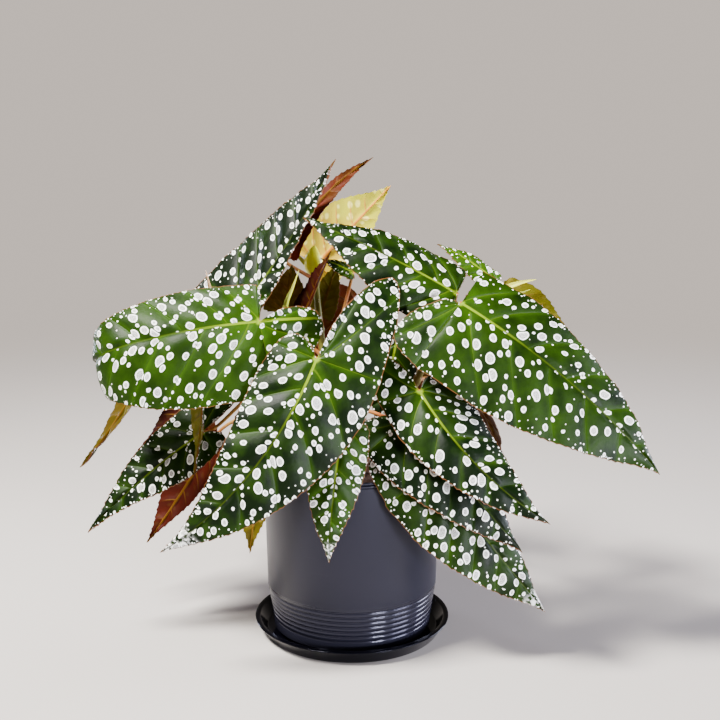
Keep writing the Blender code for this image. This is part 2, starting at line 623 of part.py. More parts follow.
def make_soil(group, cutters):
    """The soil fills the pot below its rim, with a crowned lumpy top and a
    plain hole for each cane."""
    low = foot_height() + POT_FLOOR + GAP
    outer = [(pot_inside(h) - GAP, h) for h in (SOIL_TOP, SHOULDER_HEIGHT, low)]
    rings = [(r * outer[0][0], SOIL_TOP + SOIL_CROWN * (1 - r**2)) for r in SOIL_RINGS]
    profile = rings + outer + [(0.0, low)]
    soil = applied(turned("soil", profile, group, "soil"))
    for vert in soil.data.vertices:
        x, y, z = vert.co
        inside = 1 - min(1.0, math.hypot(x, y) / outer[0][0])
        if z > SOIL_TOP - MM:
            lump = (math.sin(x / SOIL_WAVES[0]) * math.cos(y / SOIL_WAVES[1])
                    + math.sin((x + y) / SOIL_WAVES[2]))
            vert.co.z += SOIL_LUMP * lump * min(1.0, SOIL_EDGE_RATE * inside)
    for name, (points, foot, _) in CANES.items():
        x, y, _ = np.array(points[0]) * MM
        radius = foot * MM * HOLE_EASE + GAP
        middle = (POT_TOP + CANE_HOLE_FLOOR) / 2
        bpy.ops.mesh.primitive_cylinder_add(vertices=HOLE_SIDES, radius=radius,
                                            depth=POT_TOP - CANE_HOLE_FLOOR,
                                            location=(x, y, middle))
        hole = bpy.context.object
        hole.name = name + "_hole"
        move_to(hole, cutters)
        as_cutter(hole)
        cut(soil, hole)
    return soil


def main():
    clear_scene()
    group = collection("potted_cane_begonia")
    cutters = collection("cutters")
    make_saucer(group)
    make_pot(group, cutters)
    make_soil(group, cutters)
    for name in CANES:
        make_cane(name, group, cutters)
    for spec in LEAVES:
        make_leaf(spec, group)


main()
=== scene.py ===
# %% [markdown]
# # A potted cane begonia
# The plant stands in a grey plastic pot on a black saucer. Its solids come
# from the imported frame; this notebook gives every one of them a finer
# surface and a finish worked out from formulas. The first step loads the
# frame.

# %% Load the frame
import math

import bmesh
import bpy
import numpy as np
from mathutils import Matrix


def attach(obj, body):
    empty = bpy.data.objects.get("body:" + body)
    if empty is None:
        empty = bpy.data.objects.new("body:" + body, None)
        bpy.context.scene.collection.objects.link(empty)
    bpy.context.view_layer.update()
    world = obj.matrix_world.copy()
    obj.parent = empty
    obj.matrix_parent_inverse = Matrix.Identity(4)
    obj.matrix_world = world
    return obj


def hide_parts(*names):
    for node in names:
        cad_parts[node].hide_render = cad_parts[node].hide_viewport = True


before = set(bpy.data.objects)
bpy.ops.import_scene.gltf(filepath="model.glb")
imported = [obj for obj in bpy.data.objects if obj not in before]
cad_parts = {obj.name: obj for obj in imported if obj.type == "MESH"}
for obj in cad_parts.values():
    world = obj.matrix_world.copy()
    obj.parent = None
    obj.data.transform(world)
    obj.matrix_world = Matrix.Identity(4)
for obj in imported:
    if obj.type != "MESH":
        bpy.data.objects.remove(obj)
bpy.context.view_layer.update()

# %% [markdown]
# The camera comes early, so that every later piece can be looked at. The
# photograph was taken from a little over a metre away and slightly above.
# A long lens keeps the pot's sides nearly upright.

# %% Camera
CAMERA_PLACE = (0.0069, -1.048, 0.467)
CAMERA_PITCH = 77.5
LENS = 65.0


def add_camera():
    """A camera that looks along +Y; a pitch of 90 degrees would be level."""
    data = bpy.data.cameras.new("photo_view")
    data.lens = LENS
    camera = bpy.data.objects.new("photo_view", data)
    camera.location = CAMERA_PLACE
    camera.rotation_euler = (math.radians(CAMERA_PITCH), 0.0, 0.0)
    bpy.context.scene.collection.objects.link(camera)
    bpy.context.scene.camera = camera
    return camera


print("camera:", add_camera().name)

# %% [markdown]
# Every piece below is a sheet of points worked out with numpy and put into a
# mesh in one go. A sheet is a grid: rows run one way over the surface and
# columns the other, and four neighbours make a face. Points that fall on one
# another, as at a leaf's tip, are merged, which closes the poles.

# %% Grids and meshes
MM = 0.001
MERGE = 0.02 * MM
SHARP = math.radians(50)


def smooth(value, low, high):
    """0 below low, 1 above high, and an S-curve between them."""
    share = np.clip((np.asarray(value, dtype=float) - low) / (high - low), 0, 1)
    return share * share * (3 - 2 * share)


def unit(vectors):
    """Vectors along the last axis, brought to length 1."""
    return vectors / np.linalg.norm(vectors, axis=-1, keepdims=True)


def grid_faces(rows, cols, offset=0, turned=False, closed=False):
    """Corner numbers of a grid's faces. Points are numbered row by row;
    closed joins the last column to the first."""
    across = cols if closed else cols - 1
    i, j = np.meshgrid(np.arange(rows - 1), np.arange(across), indexing="ij")
    near = (j + 1) % cols
    faces = np.stack([i * cols + j, (i + 1) * cols + j,
                      (i + 1) * cols + near, i * cols + near], -1).reshape(-1, 4)
    return (faces[:, ::-1] if turned else faces) + offset


def put_mesh(name, points, faces, finishes, slots=None, values=None):
    """One object from points and faces (arrays of three or four corners),
    with a finish for each face and named values at its points."""
    mesh = bpy.data.meshes.new(name)
    mesh.from_pydata(np.asarray(points).reshape(-1, 3), [], list(faces))
    for finish in finishes:
        mesh.materials.append(finish)
    if slots is not None:
        mesh.polygons.foreach_set("material_index", np.asarray(slots, dtype=np.int32))
    for key, value in (values or {}).items():
        layer = mesh.attributes.new(key, "FLOAT_VECTOR", "POINT")
        layer.data.foreach_set("vector", np.asarray(value, dtype=np.float32).ravel())
    bm = bmesh.new()
    bm.from_mesh(mesh)
    bmesh.ops.remove_doubles(bm, verts=bm.verts, dist=MERGE)
    bm.to_mesh(mesh)
    bm.free()
    mesh.polygons.foreach_set("use_smooth", np.ones(len(mesh.polygons), dtype=bool))
    mesh.set_sharp_from_angle(angle=SHARP)
    mesh.validate()
    made = bpy.data.objects.new(name, mesh)
    bpy.context.scene.collection.objects.link(made)
    return made


def stands_for(made, slot, *nodes):
    """The piece rides on the one body and takes the place of the nodes; the
    slot is not used."""
    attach(made, "root")
    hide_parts(*nodes)
    return made


# %% [markdown]
# Finishes are made of shader nodes, and their sums are written as ordinary
# Python. A `Wire` holds one output of a node and knows plus, minus, times and
# powers, so `1 - mask * 0.5` adds the Math nodes that it needs. Any other
# node comes from `Graph.node`, which takes its type, its settings and then
# what goes into its sockets. The studio's light uses the same class later.

# %% Shader sums as Python
def operator(operation, swapped=False):
    """A method that joins two values by a Math node."""
    def join(self, other):
        first, second = (other, self) if swapped else (self, other)
        return self.graph.node("Math", {"operation": operation}, {0: first, 1: second})
    return join


class Wire:
    """One output socket, with arithmetic that adds Math nodes."""
    __add__, __radd__ = operator("ADD"), operator("ADD", True)
    __sub__, __rsub__ = operator("SUBTRACT"), operator("SUBTRACT", True)
    __mul__, __rmul__ = operator("MULTIPLY"), operator("MULTIPLY", True)
    __pow__ = operator("POWER")
    least, most = operator("MINIMUM"), operator("MAXIMUM")

    def __init__(self, graph, socket):
        self.graph = graph
        self.socket = socket

    def rise(self, low, high):
        """0 where the value is low, 1 where it is high, smooth between."""
        return self.graph.node("MapRange", {"interpolation_type": "SMOOTHSTEP"},
                               {"Value": self, "From Min": low, "From Max": high})

    def fall(self, low, high):
        """1 where the value is low, 0 where it is high."""
        return 1 - self.rise(low, high)


class Graph:
    """The nodes of one finish, or of the studio's light."""

    def __init__(self, tree):
        self.tree = tree

    def put(self, socket, value):
        """Links a wire to the socket, or sets the socket to a value."""
        if isinstance(value, Wire):
            self.tree.links.new(value.socket, socket)
        else:
            socket.default_value = value

    def node(self, kind, settings=None, inputs=None, out=0):
        """A node of any type: settings first, then its sockets."""
        node = self.tree.nodes.new("ShaderNode" + kind)
        for key, value in (settings or {}).items():
            setattr(node, key, value)
        for key, value in (inputs or {}).items():
            self.put(node.inputs[key], value)
        return Wire(self, node.outputs[out])

    def mix(self, mask, below, above):
        """The colour below, covered by the one above where mask is 1."""
        below, above = (c if isinstance(c, Wire) else (*c, 1.0) for c in (below, above))
        return self.node("Mix", {"data_type": "RGBA"}, {0: mask, 6: below, 7: above}, 2)

    def parts(self, vector):
        """The three numbers of a vector."""
        split = self.node("SeparateXYZ", None, {0: vector}).socket.node
        return [Wire(self, split.outputs[k]) for k in range(3)]

    def attribute(self, name):
        """Three numbers that the mesh carries at its points."""
        return self.node("Attribute", {"attribute_name": name}, None, 1)

    def place(self):
        """The point's place on the object, in metres."""
        return self.node("TexCoord", None, None, 3)

    def scaled(self, vector, by):
        """A vector, each part times its own number."""
        return self.node("VectorMath", {"operation": "MULTIPLY"}, {0: vector, 1: by})

    def noise(self, vector, scale, detail=2.0):
        """Cloudy noise of 0 to 1."""
        return self.node("TexNoise", None, {"Vector": vector, "Scale": scale, "Detail": detail})


class Finish(Graph):
    """A material round one Principled shader."""

    def __init__(self, name, roughness, shine=0.5, coat=0.0):
        self.material = bpy.data.materials.new(name)
        self.material.use_nodes = True
        super().__init__(self.material.node_tree)
        self.shader = self.tree.nodes["Principled BSDF"]
        for key, value in (("Roughness", roughness), ("Specular IOR Level", shine),
                           ("Coat Weight", coat), ("Coat Roughness", 0.25)):
            self.shader.inputs[key].default_value = value

    def done(self, colour, roughness, height=None, depth=0.0, strength=0.0):
        """Wires the colour, the roughness and a bump of the height."""
        self.put(self.shader.inputs["Base Color"], colour)
        self.put(self.shader.inputs["Roughness"], roughness)
        if height is not None:
            bump = self.node("Bump", None, {"Height": height, "Strength": strength,
                                            "Distance": depth})
            self.put(self.shader.inputs["Normal"], bump)
        return self.material


def dimmed(colour, by):
    """A colour made darker, or lighter where by is over 1."""
    return tuple(part * by for part in colour)


print("shader helpers ready")

# %% [markdown]
# ## The leaves' outline
# A begonia's blade is lopsided: the half on one side of the midrib is wider
# and has a lobe that hangs back past the stalk. Both halves are drawn with a
# few points joined by a smooth curve. Lengths are shares of the midrib, so
# one outline serves leaves of all sizes.

# %% Outline of the two halves
BROAD_HALF = ((0.0, 0.03), (-0.38, 0.08), (-0.82, 0.36), (-1.0, 0.72),
              (-0.72, 0.93), (-0.12, 1.0), (0.17, 1.0), (0.36, 0.90),
              (0.55, 0.70), (0.72, 0.45), (0.86, 0.20), (0.95, 0.06), (1.0, 0.0))
NARROW_HALF = ((0.0, 0.03), (-0.25, 0.14), (-0.50, 0.40), (-0.45, 0.68),
               (0.0, 0.90), (0.16, 1.0), (0.34, 0.95), (0.53, 0.75),
               (0.70, 0.48), (0.85, 0.21), (0.95, 0.06), (1.0, 0.0))


def catmull(points, share):
    """A Catmull-Rom curve through the points, read at shares 0 to 1: each
    stretch is a cubic whose slope at a point follows its two neighbours."""
    given = np.asarray(points, dtype=float)
    padded = np.vstack([2 * given[0] - given[1], given, 2 * given[-1] - given[-2]])
    spans = len(given) - 1
    place = np.clip(share, 0, 1) * spans
    first = np.minimum(place.astype(int), spans - 1)
    f = (place - first)[:, None]
    a, b, c, d = (padded[first + k] for k in range(4))
    return 0.5 * (2 * b + (c - a) * f + (2 * a - 5 * b + 4 * c - d) * f**2
                  + (3 * b - a - 3 * c + d) * f**3)


def outline(spec, is_broad, share):
    """One half's outline: how far along the midrib and how far out from it."""
    edge = catmull(BROAD_HALF if is_broad else NARROW_HALF, share)
    lobe = spec["lobe"] if is_broad else spec["lobe"] * spec["back"]
    ahead = np.clip(edge[:, 0], 0, 1) ** (1 / spec["belly"])
    along = np.where(edge[:, 0] < 0, edge[:, 0] * lobe, ahead)
    return along, edge[:, 1] * (spec["broad"] if is_broad else spec["narrow"])


# %% [markdown]
# The table lists the leaves as a gardener would: where the stalk meets the
# blade, where the tip is, which way the upper face looks, and how the blade
# bends, folds and curls. The numbers are the same as in the solid model, so
# that every fine leaf lies in its own solid. `at` says how far up its cane a
# stalk starts, and `square` how squarely it meets the blade. `young` is 1 for
# a bright fresh leaf, `red` is 0 for an olive underside and 1 for a red one;
# above 1, up to 2, it darkens the red towards near-black as painted shade.
# `dense` says how thickly the upper face is spotted, and below 0 leaves a
# leaf so few spots that it reads dark as painted shade. `silver` says how far
# the spots run together at the tip.

# %% Table of leaves
USUAL = dict(hand=1, back=0.55, belly=1.0, bend=20, hook=0, hook_at=0.55, sickle=0, fold=8,
             curl=14, wave=0.012, skew=0.0, square=0.8, young=0.3, red=0.7, dense=0.6, silver=0.0)


def leaf(name, base, tip, az, el, cane, at, sizes, **own):
    """One leaf: places in millimetres, angles in degrees, the rest shares.
    sizes are the widths of the broad and the narrow half and the length of
    the lobe. What a leaf doesn't say of its own is as usual."""
    broad, narrow, lobe = sizes
    return dict(USUAL, name="leaf_" + name, base=base, tip=tip, az=az, el=el,
                cane="cane_" + cane, at=at, broad=broad, narrow=narrow, lobe=lobe, **own)


LEAVES = (
    leaf("front", (-26, -88, 255), (-147, -104, 106), -4, 16, "front", 0.97, (0.26, 0.2, 0.42),
         back=0.35, belly=0.9, bend=30, sickle=40, fold=5, curl=10, young=0.15, dense=0.8, silver=0.7),
    leaf("left", (-71, -62, 279), (-190, -2, 226), -14, 22, "left", 0.68, (0.31, 0.18, 0.27), back=0.15,
         belly=1.35, bend=50, hook=75, hook_at=0.52, sickle=-8, fold=4, curl=15, skew=0.7, young=0.6,
         dense=0.7),
    leaf("top_left", (-98, 18, 266), (-13, 30, 397), -42, 20, "middle", 0.52, (0.38, 0.1, 0.3),
         belly=0.85, bend=-15, fold=10, curl=-14, square=0.5, young=0.0, red=0.9),
    leaf("top_brown", (-57, 46, 316), (18, 54, 397), 150, -20, "middle", 0.93, (0.12, 0.1, 0.01),
         bend=-20, sickle=-30, fold=0, square=0.6, young=0.0, red=0.9),
    leaf("top_pale", (-30, 82, 303), (34, 95, 370), 165, 20, "middle", 0.92, (0.25, 0.38, 0.2), bend=10,
         fold=0, young=1.0, red=0.4),
    leaf("right_high", (83, -38, 297), (-39, -8, 353), 20, 42, "right", 0.75, (0.27, 0.26, 0.03),
         sickle=6, fold=10, young=0.2, dense=0.1),
    leaf("right", (85, -60, 293), (240, -80, 161), 18, 30, "right", 0.62, (0.3, 0.2, 0.16), hand=-1,
         back=0.0, belly=1.3, bend=25, sickle=8, fold=6, curl=8, square=1.0, young=0.4, dense=0.3),
    leaf("right_small", (118, -2, 300), (70, 12, 329), 10, 50, "right", 0.95, (0.22, 0.2, 0.1), bend=30,
         square=0.6, young=0.9),
    leaf("right_back", (116, 22, 276), (204, 22, 216), 175, -20, "right", 0.85, (0.3, 0.32, 0.1),
         wave=0.025, young=0.4, red=0.0),
    leaf("front_right", (53, -72, 226), (152, -108, 130), 22, 22, "right", 0.5, (0.22, 0.25, 0.38),
         hand=-1, back=0.4, sickle=-38, young=0.05),
    leaf("dark_right", (43, -62, 200), (134, -86, 99), 28, 24, "front", 0.75, (0.3, 0.22, 0.15),
         hand=-1, bend=25, sickle=-10, young=0.0, dense=0.9),
    leaf("low_right", (64, -66, 160), (156, -70, 42), 30, 10, "right", 0.38, (0.3, 0.2, 0.25), hand=-1,
         sickle=-10, dense=0.9, silver=0.5),
    leaf("front_low", (-6, -88, 203), (-17, -100, 96), -4, 12, "front", 0.66, (0.24, 0.21, 0.15),
         hand=-1, bend=12, hook=25, sickle=-6, young=0.5, dense=0.95, silver=0.5),
    leaf("left_low", (-121, -30, 181), (-218, -30, 95), -18, 28, "left", 0.58, (0.21, 0.2, 0.4),
         hand=-1, belly=0.8, bend=10, sickle=-10, fold=-8, young=0.1),
    # red above 1 on this leaf and the next: painted shade on the underside.
    leaf("left_red", (-124, 12, 211), (-186, 10, 148), 120, -30, "left", 0.76, (0.22, 0.14, 0.1),
         bend=10, square=0.4, young=0.0, red=2.0),
    leaf("left_hanging", (-115, 5, 165), (-175, 0, 75), 165, -20, "left", 0.48, (0.22, 0.16, 0.15),
         bend=15, square=0.4, young=0.0, red=1.6),
    leaf("left_edge", (-117, -48, 233), (-126, -52, 153), 115, -10, "left", 0.84, (0.22, 0.16, 0.1),
         bend=10, square=0.4, young=0.7, red=0.0, dense=0.8),
    leaf("low_left", (-70, -66, 184), (-81, -70, 92), 175, -10, "left", 0.42, (0.25, 0.2, 0.1), bend=10,
         square=0.3, young=0.1, red=0.2, dense=1.0),
    leaf("far_left", (-160, 15, 250), (-231, 10, 139), 120, -15, "left", 0.96, (0.14, 0.11, 0.1),
         bend=30, sickle=20, young=0.05, red=0.2),
    # red above 1: painted shade darkens this folded leaf.
    leaf("young", (-39, 28, 267), (-17, 24, 322), -60, 10, "middle", 0.7, (0.21, 0.21, 0.03), bend=0,
         fold=-40, young=0.0, red=1.9),
    leaf("middle_left", (-57, 41, 268), (-50, 36, 309), 180, -10, "middle", 0.6, (0.5, 0.5, 0.1),
         bend=0, fold=14, square=0.2, young=0.6, red=0.2),
    leaf("middle_right", (-27, 60, 264), (-12, 64, 308), 180, -10, "middle", 0.5, (0.28, 0.28, 0.1),
         bend=0, fold=14, square=0.2, young=1.0, red=0.1),
    # Painted shade: dense below 0 leaves this leaf with few spots, so that it reads as dark as a leaf
    # in deep shadow.
    leaf("middle_dark", (1, 45, 301), (-27, 48, 312), -10, 50, "middle", 0.56, (0.26, 0.26, 0.1),
         young=0.0, dense=-1.0),
    leaf("inner_right", (38, -20, 262), (20, -30, 180), -5, 10, "right", 0.36, (0.28, 0.26, 0.1),
         bend=10, square=0.85, young=0.0, dense=0.9),
    leaf("back", (6, 110, 262), (-6, 150, 140), 180, 25, "back", 0.97, (0.3, 0.24, 0.25), bend=35),
    leaf("back_left", (-48, 96, 232), (-104, 138, 128), 215, 25, "back", 0.72, (0.3, 0.24, 0.25),
         bend=35, young=0.2),
    leaf("back_right", (58, 92, 236), (112, 136, 142), 145, 25, "back", 0.8, (0.3, 0.24, 0.25), hand=-1,
         bend=35, young=0.4),
    leaf("back_high_left", (-104, 62, 250), (-176, 94, 172), 235, 30, "left", 0.58, (0.3, 0.24, 0.15),
         bend=30, young=0.5),
    leaf("back_high_right", (96, 56, 266), (172, 88, 208), 130, 35, "right", 0.82, (0.3, 0.24, 0.15),
         hand=-1, bend=30, young=0.6),
    leaf("back_low_left", (-36, 74, 186), (-84, 104, 88), 215, 22, "back", 0.48, (0.3, 0.24, 0.25),
         bend=30, young=0.15),
    leaf("back_low_right", (44, 84, 190), (64, 122, 96), 160, 22, "back", 0.56, (0.3, 0.24, 0.25),
         hand=-1, bend=30, young=0.2),
    leaf("side_right", (90, 34, 214), (134, 62, 122), 120, 25, "right", 0.56, (0.28, 0.24, 0.2),
         bend=30),
)
print("leaves:", len(LEAVES))

# %% [markdown]
# The midrib is the leaf's backbone. It arches over, some leaves hook down
# near the tip, and most swing a little sideways. Its slope is a simple
# formula of the distance along it; adding up the small steps gives the line,
# which is then turned and scaled to run from the stalk to the tip.

# %% The midrib of one leaf
ARC_START = -0.5
ARC_STEPS = 150
HOOK_SPAN = 0.3
HOOK_POWER = 1.5
SICKLE_START = -0.1


def sample(values, known, at):
    """Rows of values, known at some places, read at others of any shape."""
    return np.stack([np.interp(at, known, values[:, k]) for k in range(3)], -1)


def outward(az, el):
    """The direction that a face looks to."""
    a, e = math.radians(az), math.radians(el)
    return np.array([math.sin(a) * math.cos(e), -math.cos(a) * math.cos(e), math.sin(e)])


def midrib(spec):
    """The midrib's points and frame. Pitch falls evenly by bend and near the
    tip by hook; heading turns by sickle; the points are the running sum of
    the steps, turned so that the chord runs from base to tip."""
    t = np.linspace(ARC_START, 1, ARC_STEPS + 1)
    turn = np.clip((t - spec["hook_at"]) / HOOK_SPAN, 0, 1) ** HOOK_POWER
    pitch = np.radians(spec["bend"]) * (0.5 - t) - np.radians(spec["hook"]) * turn
    head = np.radians(spec["sickle"]) * (0.5 - np.clip(t, SICKLE_START, 1))
    along = np.stack([np.cos(pitch) * np.cos(head), np.cos(pitch) * np.sin(head),
                      np.sin(pitch)], -1)
    face = np.stack([-np.sin(pitch) * np.cos(head), -np.sin(pitch) * np.sin(head),
                     np.cos(pitch)], -1)
    step = (along[1:] + along[:-1]) / 2 * (t[1] - t[0])
    place = np.vstack([np.zeros(3), np.cumsum(step, 0)])
    place -= sample(place, t, np.array([0.0]))
    end = place[-1]
    yaw, rise = np.arctan2(end[1], end[0]), np.arctan2(end[2], np.hypot(end[0], end[1]))
    cy, sy, cr, sr = np.cos(yaw), np.sin(yaw), np.cos(rise), np.sin(rise)
    unturn = (np.array([[cr, 0, sr], [0, 1, 0], [-sr, 0, cr]])
              @ np.array([[cy, sy, 0], [-sy, cy, 0], [0, 0, 1]]))
    base, tip = np.array(spec["base"]) * MM, np.array(spec["tip"]) * MM
    chord = tip - base
    a = unit(chord)
    n = outward(spec["az"], spec["el"])
    n = unit(n - n @ a * a)
    world = np.stack([a, np.cross(n, a), n])
    length = np.linalg.norm(chord) / np.linalg.norm(end)
    turned = unturn.T @ world
    face = face @ turned
    along = along @ turned
    return t, place @ turned * length + base, along, face, np.cross(face, along), length


# %% [markdown]
# The main veins fan out from the stalk into the lobes, and further on leave
# the midrib to either side. Between them the blade is quilted upwards. The
# grid's rows run along the veins, so that a vein always lies on a row and
# the quilting is simply a sine from one vein row to the next.

# %% Rows of the blade's grid
VEIN_SLANT = 0.85
FAN_ROWS = 40
STEM_ROWS = 72
DENSE = 600


def row_ends(spec, is_broad):
    """Where each row starts on the midrib and ends on the outline. The fan's
    rows start at the stalk; the others start at even steps of the midrib."""
    dense = np.linspace(0, 1, DENSE)
    x, y = outline(spec, is_broad, dense)
    start = np.maximum.accumulate(np.maximum(0, x - VEIN_SLANT * y))
    start[-1] = 1.0
    first = np.argmax(start > 0)
    fan = np.linspace(0, dense[first], FAN_ROWS, endpoint=False)
    stations = np.linspace(0, 1, STEM_ROWS + 1)
    stem = np.interp(stations, start[first - 1:], dense[first - 1:])
    share = np.concatenate([fan, stem])
    share[-1] = 1.0
    return share, np.concatenate([np.zeros(FAN_ROWS), stations])


share, _ = row_ends(LEAVES[0], True)
print("rows:", len(share), "first stem row at share", round(float(share[FAN_ROWS]), 3))

# %% [markdown]
# One function turns an outline into half a blade. It rolls the half about
# the midrib, lets the margin rise and fall, quilts it between its veins and
# cuts small teeth into its edge. It also keeps, for the finish, how far each
# point is from the nearest vein, the midrib, the margin and the stalk.

# %% Half a blade
COLS = 11
VEIN_CURVE = 1.25
COL_CURVE = 1.25
BROAD_VEINS = (0, 12, 23, 33, 43, 56, 69, 82, 95, FAN_ROWS + STEM_ROWS)
NARROW_VEINS = (0, 15, 29, 40, 49, 62, 75, 88, 101, FAN_ROWS + STEM_ROWS)
WAVES = 3
WAVE_SHIFT = 1.7
QUILT = 0.105
QUILT_MOST = 2.6 * MM
TOOTH_PITCH = 6.3 * MM
TOOTH_DEPTH = 1.1 * MM
TOOTH_MIDDLE = 0.35
TOOTH_DRIFT = 0.35
TOOTH_DRIFT_LENGTH = 13 * MM
TEETH_START = (0.02, 0.12)
TEETH_END = (0.0, 0.06)
EDGE_POWER = 12
RUFFLE = 0.5 * MM
RUFFLE_LENGTH = 5.0 * MM


def band(rows):
    """For each row, the vein rows on either side and how far between them."""
    rows = np.asarray(rows)
    index = np.arange(rows[-1] + 1)
    low = rows[np.clip(np.searchsorted(rows, index, side="right") - 1, 0, len(rows) - 2)]
    high = rows[np.clip(np.searchsorted(rows, index, side="right"), 1, len(rows) - 1)]
    return low, high, (index - low) / (high - low)


def half_blade(spec, sign, line):
    """Points, directions square to the sheet and values of one half, each
    for the whole grid. A point lies at x along the midrib and y out from it;
    the cross-section is an arc whose slope is fold at the midrib and grows
    by curl to the margin."""
    t, place, _, face, side, length = line
    is_broad = sign == spec["hand"]
    share, root = row_ends(spec, is_broad)
    ex, ey = outline(spec, is_broad, share)
    run = np.concatenate([[0], np.cumsum(np.hypot(np.diff(ex), np.diff(ey)))]) * length
    tangent = np.stack([np.gradient(ex), np.gradient(ey)], -1)
    tangent /= np.maximum(np.linalg.norm(tangent, axis=1), 1e-9)[:, None]
    drift = TOOTH_DRIFT * np.sin(run / TOOTH_DRIFT_LENGTH + spec["az"])
    saw = np.mod(run / TOOTH_PITCH + drift, 1) ** 2
    toothed = smooth(share, *TEETH_START) * smooth(1 - share, *TEETH_END)
    tooth = TOOTH_DEPTH * (saw - TOOTH_MIDDLE) * toothed
    v = (np.arange(COLS + 1) / COLS)[None, :] ** COL_CURVE
    outer = v**EDGE_POWER
    x = root[:, None] + v**VEIN_CURVE * (ex - root)[:, None]
    x = x - outer * (tangent[:, 1] * tooth / length)[:, None]
    flat_y = v * ey[:, None] + outer * (tangent[:, 0] * tooth / length)[:, None]
    flat_y = np.where(v == 0, 0, flat_y)
    across = sign * flat_y + spec["hand"] * spec["skew"] * np.minimum(0, x)
    y = np.abs(across)
    half = spec["broad"] if is_broad else spec["narrow"]
    fold, rate = np.radians(spec["fold"]), np.radians(spec["curl"]) / half
    slope = fold + rate * y
    out = np.sign(across) * (np.sin(slope) - np.sin(fold)) / rate
    drop = (np.cos(fold) - np.cos(slope)) / rate
    swell = np.sqrt(np.sin(np.pi * share))[:, None]
    shift = 0 if sign > 0 else WAVE_SHIFT
    ripple = spec["wave"] * swell * np.sin(math.tau * WAVES * share[:, None] + shift) * v**2
    ruffle = RUFFLE * swell * np.sin(run / RUFFLE_LENGTH + spec["el"])[:, None] * v**6
    low, high, phase = band(BROAD_VEINS if is_broad else NARROW_VEINS)
    flat = np.stack([x, flat_y], -1) * length
    width = np.linalg.norm(flat[high] - flat[low], axis=-1)
    quilt = np.minimum(QUILT * width, QUILT_MOST) * np.sin(np.pi * phase)[:, None]
    quilt = quilt * smooth(v, 0.0, 0.2) * (1 - 0.7 * v**4)
    lift = (ripple - drop) * length + ruffle + quilt
    points = (sample(place, t, x) + sample(side, t, x) * (out * length)[..., None]
              + sample(face, t, x) * lift[..., None])
    normal = (sample(face, t, x) * np.cos(slope)[..., None]
              + sample(side, t, x) * (np.sign(across) * np.sin(slope))[..., None])
    reach = np.abs((ex - root) * tangent[:, 1] - ey * tangent[:, 0]) * length
    return {
        "point": points, "normal": normal, "share": x, "x": x * length, "y": across * length,
        "vein": width * np.minimum(phase, 1 - phase)[:, None],
        "edge": (1 - v) * reach[:, None],
    }


# %% [markdown]
# The two halves meet on the midrib and make one sheet. The sheet is given its
# thickness by moving it both ways, thinner at the margin, and the two skins
# are joined round the edge, so that each leaf is one closed body with an
# upper and a lower finish. `spread`, the place on the blade that the finish
# reads in millimetres, is turned by the slant of the side veins, so that ovals
# lie along them. It is moved on for each leaf, so that no two have the same
# spots, and its third number tells the halves apart by its sign.

# %% A whole leaf
BLADE_THICK = 0.8 * MM
EDGE_THICK = 0.4 * MM
MIDRIB_GROOVE = 0.7 * MM
GROOVE_WIDTH = 1.6 * MM
VEIN_ANGLE = math.radians(48)
LEAF_SHIFT = 400.0
SILVER_TIP = (0.72, 0.95)


def two_skins(rows, cols, turned=False):
    """Faces of two sheets of the same grid, joined round their edge."""
    count = rows * cols
    loop = np.concatenate([np.arange(cols), np.arange(1, rows) * cols + cols - 1,
                           (rows - 1) * cols + np.arange(cols - 2, -1, -1),
                           np.arange(rows - 2, 0, -1) * cols])
    after = np.roll(loop, -1)
    rim = np.stack([loop, after, after + count, loop + count], -1)
    if turned:
        rim = rim[:, [0, 3, 2, 1]]
    return np.vstack([grid_faces(rows, cols, 0, turned),
                      grid_faces(rows, cols, count, not turned), rim])


def blade_shell(spec, number):
    """Points, faces, face slots and values of one leaf."""
    line = midrib(spec)
    left, right = half_blade(spec, -1, line), half_blade(spec, 1, line)
    value = {key: np.concatenate([left[key][:, :0:-1], right[key]], 1) for key in left}
    points, normal = value["point"], unit(value["normal"])
    rows, cols = points.shape[:2]
    v = np.abs(np.linspace(-1, 1, cols))[None, :, None]
    thick = BLADE_THICK + (EDGE_THICK - BLADE_THICK) * v**3
    fade = 1 - np.clip(value["share"], 0, 1)
    groove = MIDRIB_GROOVE * np.exp(-(value["y"] / GROOVE_WIDTH) ** 2) * fade
    points = points - normal * groove[..., None]
    skins = np.stack([points + normal * thick / 2, points - normal * thick / 2])
    faces = two_skins(rows, cols)
    sheet = (rows - 1) * (cols - 1)
    slots = np.repeat([0, 1, 0], [sheet, sheet, len(faces) - 2 * sheet])
    share, x, y, edge, vein = (np.tile(value[key].ravel(), 2)
                               for key in ("share", "x", "y", "edge", "vein"))
    x, y, edge, vein, out = x / MM, y / MM, edge / MM, vein / MM, np.abs(y) / MM
    dense = spec["dense"] + spec["silver"] * smooth(share, *SILVER_TIP)
    cos, sin = math.cos(VEIN_ANGLE), math.sin(VEIN_ANGLE)
    values = {
        "spread": np.stack([x * cos + out * sin + LEAF_SHIFT * number, out * cos - x * sin, y], -1),
        "margin": np.stack([edge, vein, share], -1),
        "stem": np.stack([out, np.hypot(x, y), 0 * x], -1),
        "growth": np.stack([spec["young"] + 0 * x, spec["red"] + 0 * x, dense], -1),
    }
    return skins.reshape(-1, 3), faces, slots, values


shell = blade_shell(LEAVES[0], 0)
print("one leaf:", len(shell[0]), "points,", len(shell[1]), "faces")

# %% [markdown]
# ## The finish of the upper face
# The upper face is deep green and covered with silvery oval spots. The spots
# come from Voronoi cells: each cell has one middle point, and all that lies
# nearer to it than a radius is white. The distance to the cell's border keeps
# neighbours apart, so they don't run together. Big spots, fair ones and dots
# are laid over one another; a fair spot asks how near its own middle lies to
# a big one, and stays away altogether where they would touch. Each kind is
# given by its cell's width and its least and greatest radius in millimetres.

# %% Spots
HALF_SHIFT = 150.0
CELL_RANDOMNESS = 0.78
SPOT_GAP = 0.4
ROUNDING = 0.7
OUTSIDE = 20.0


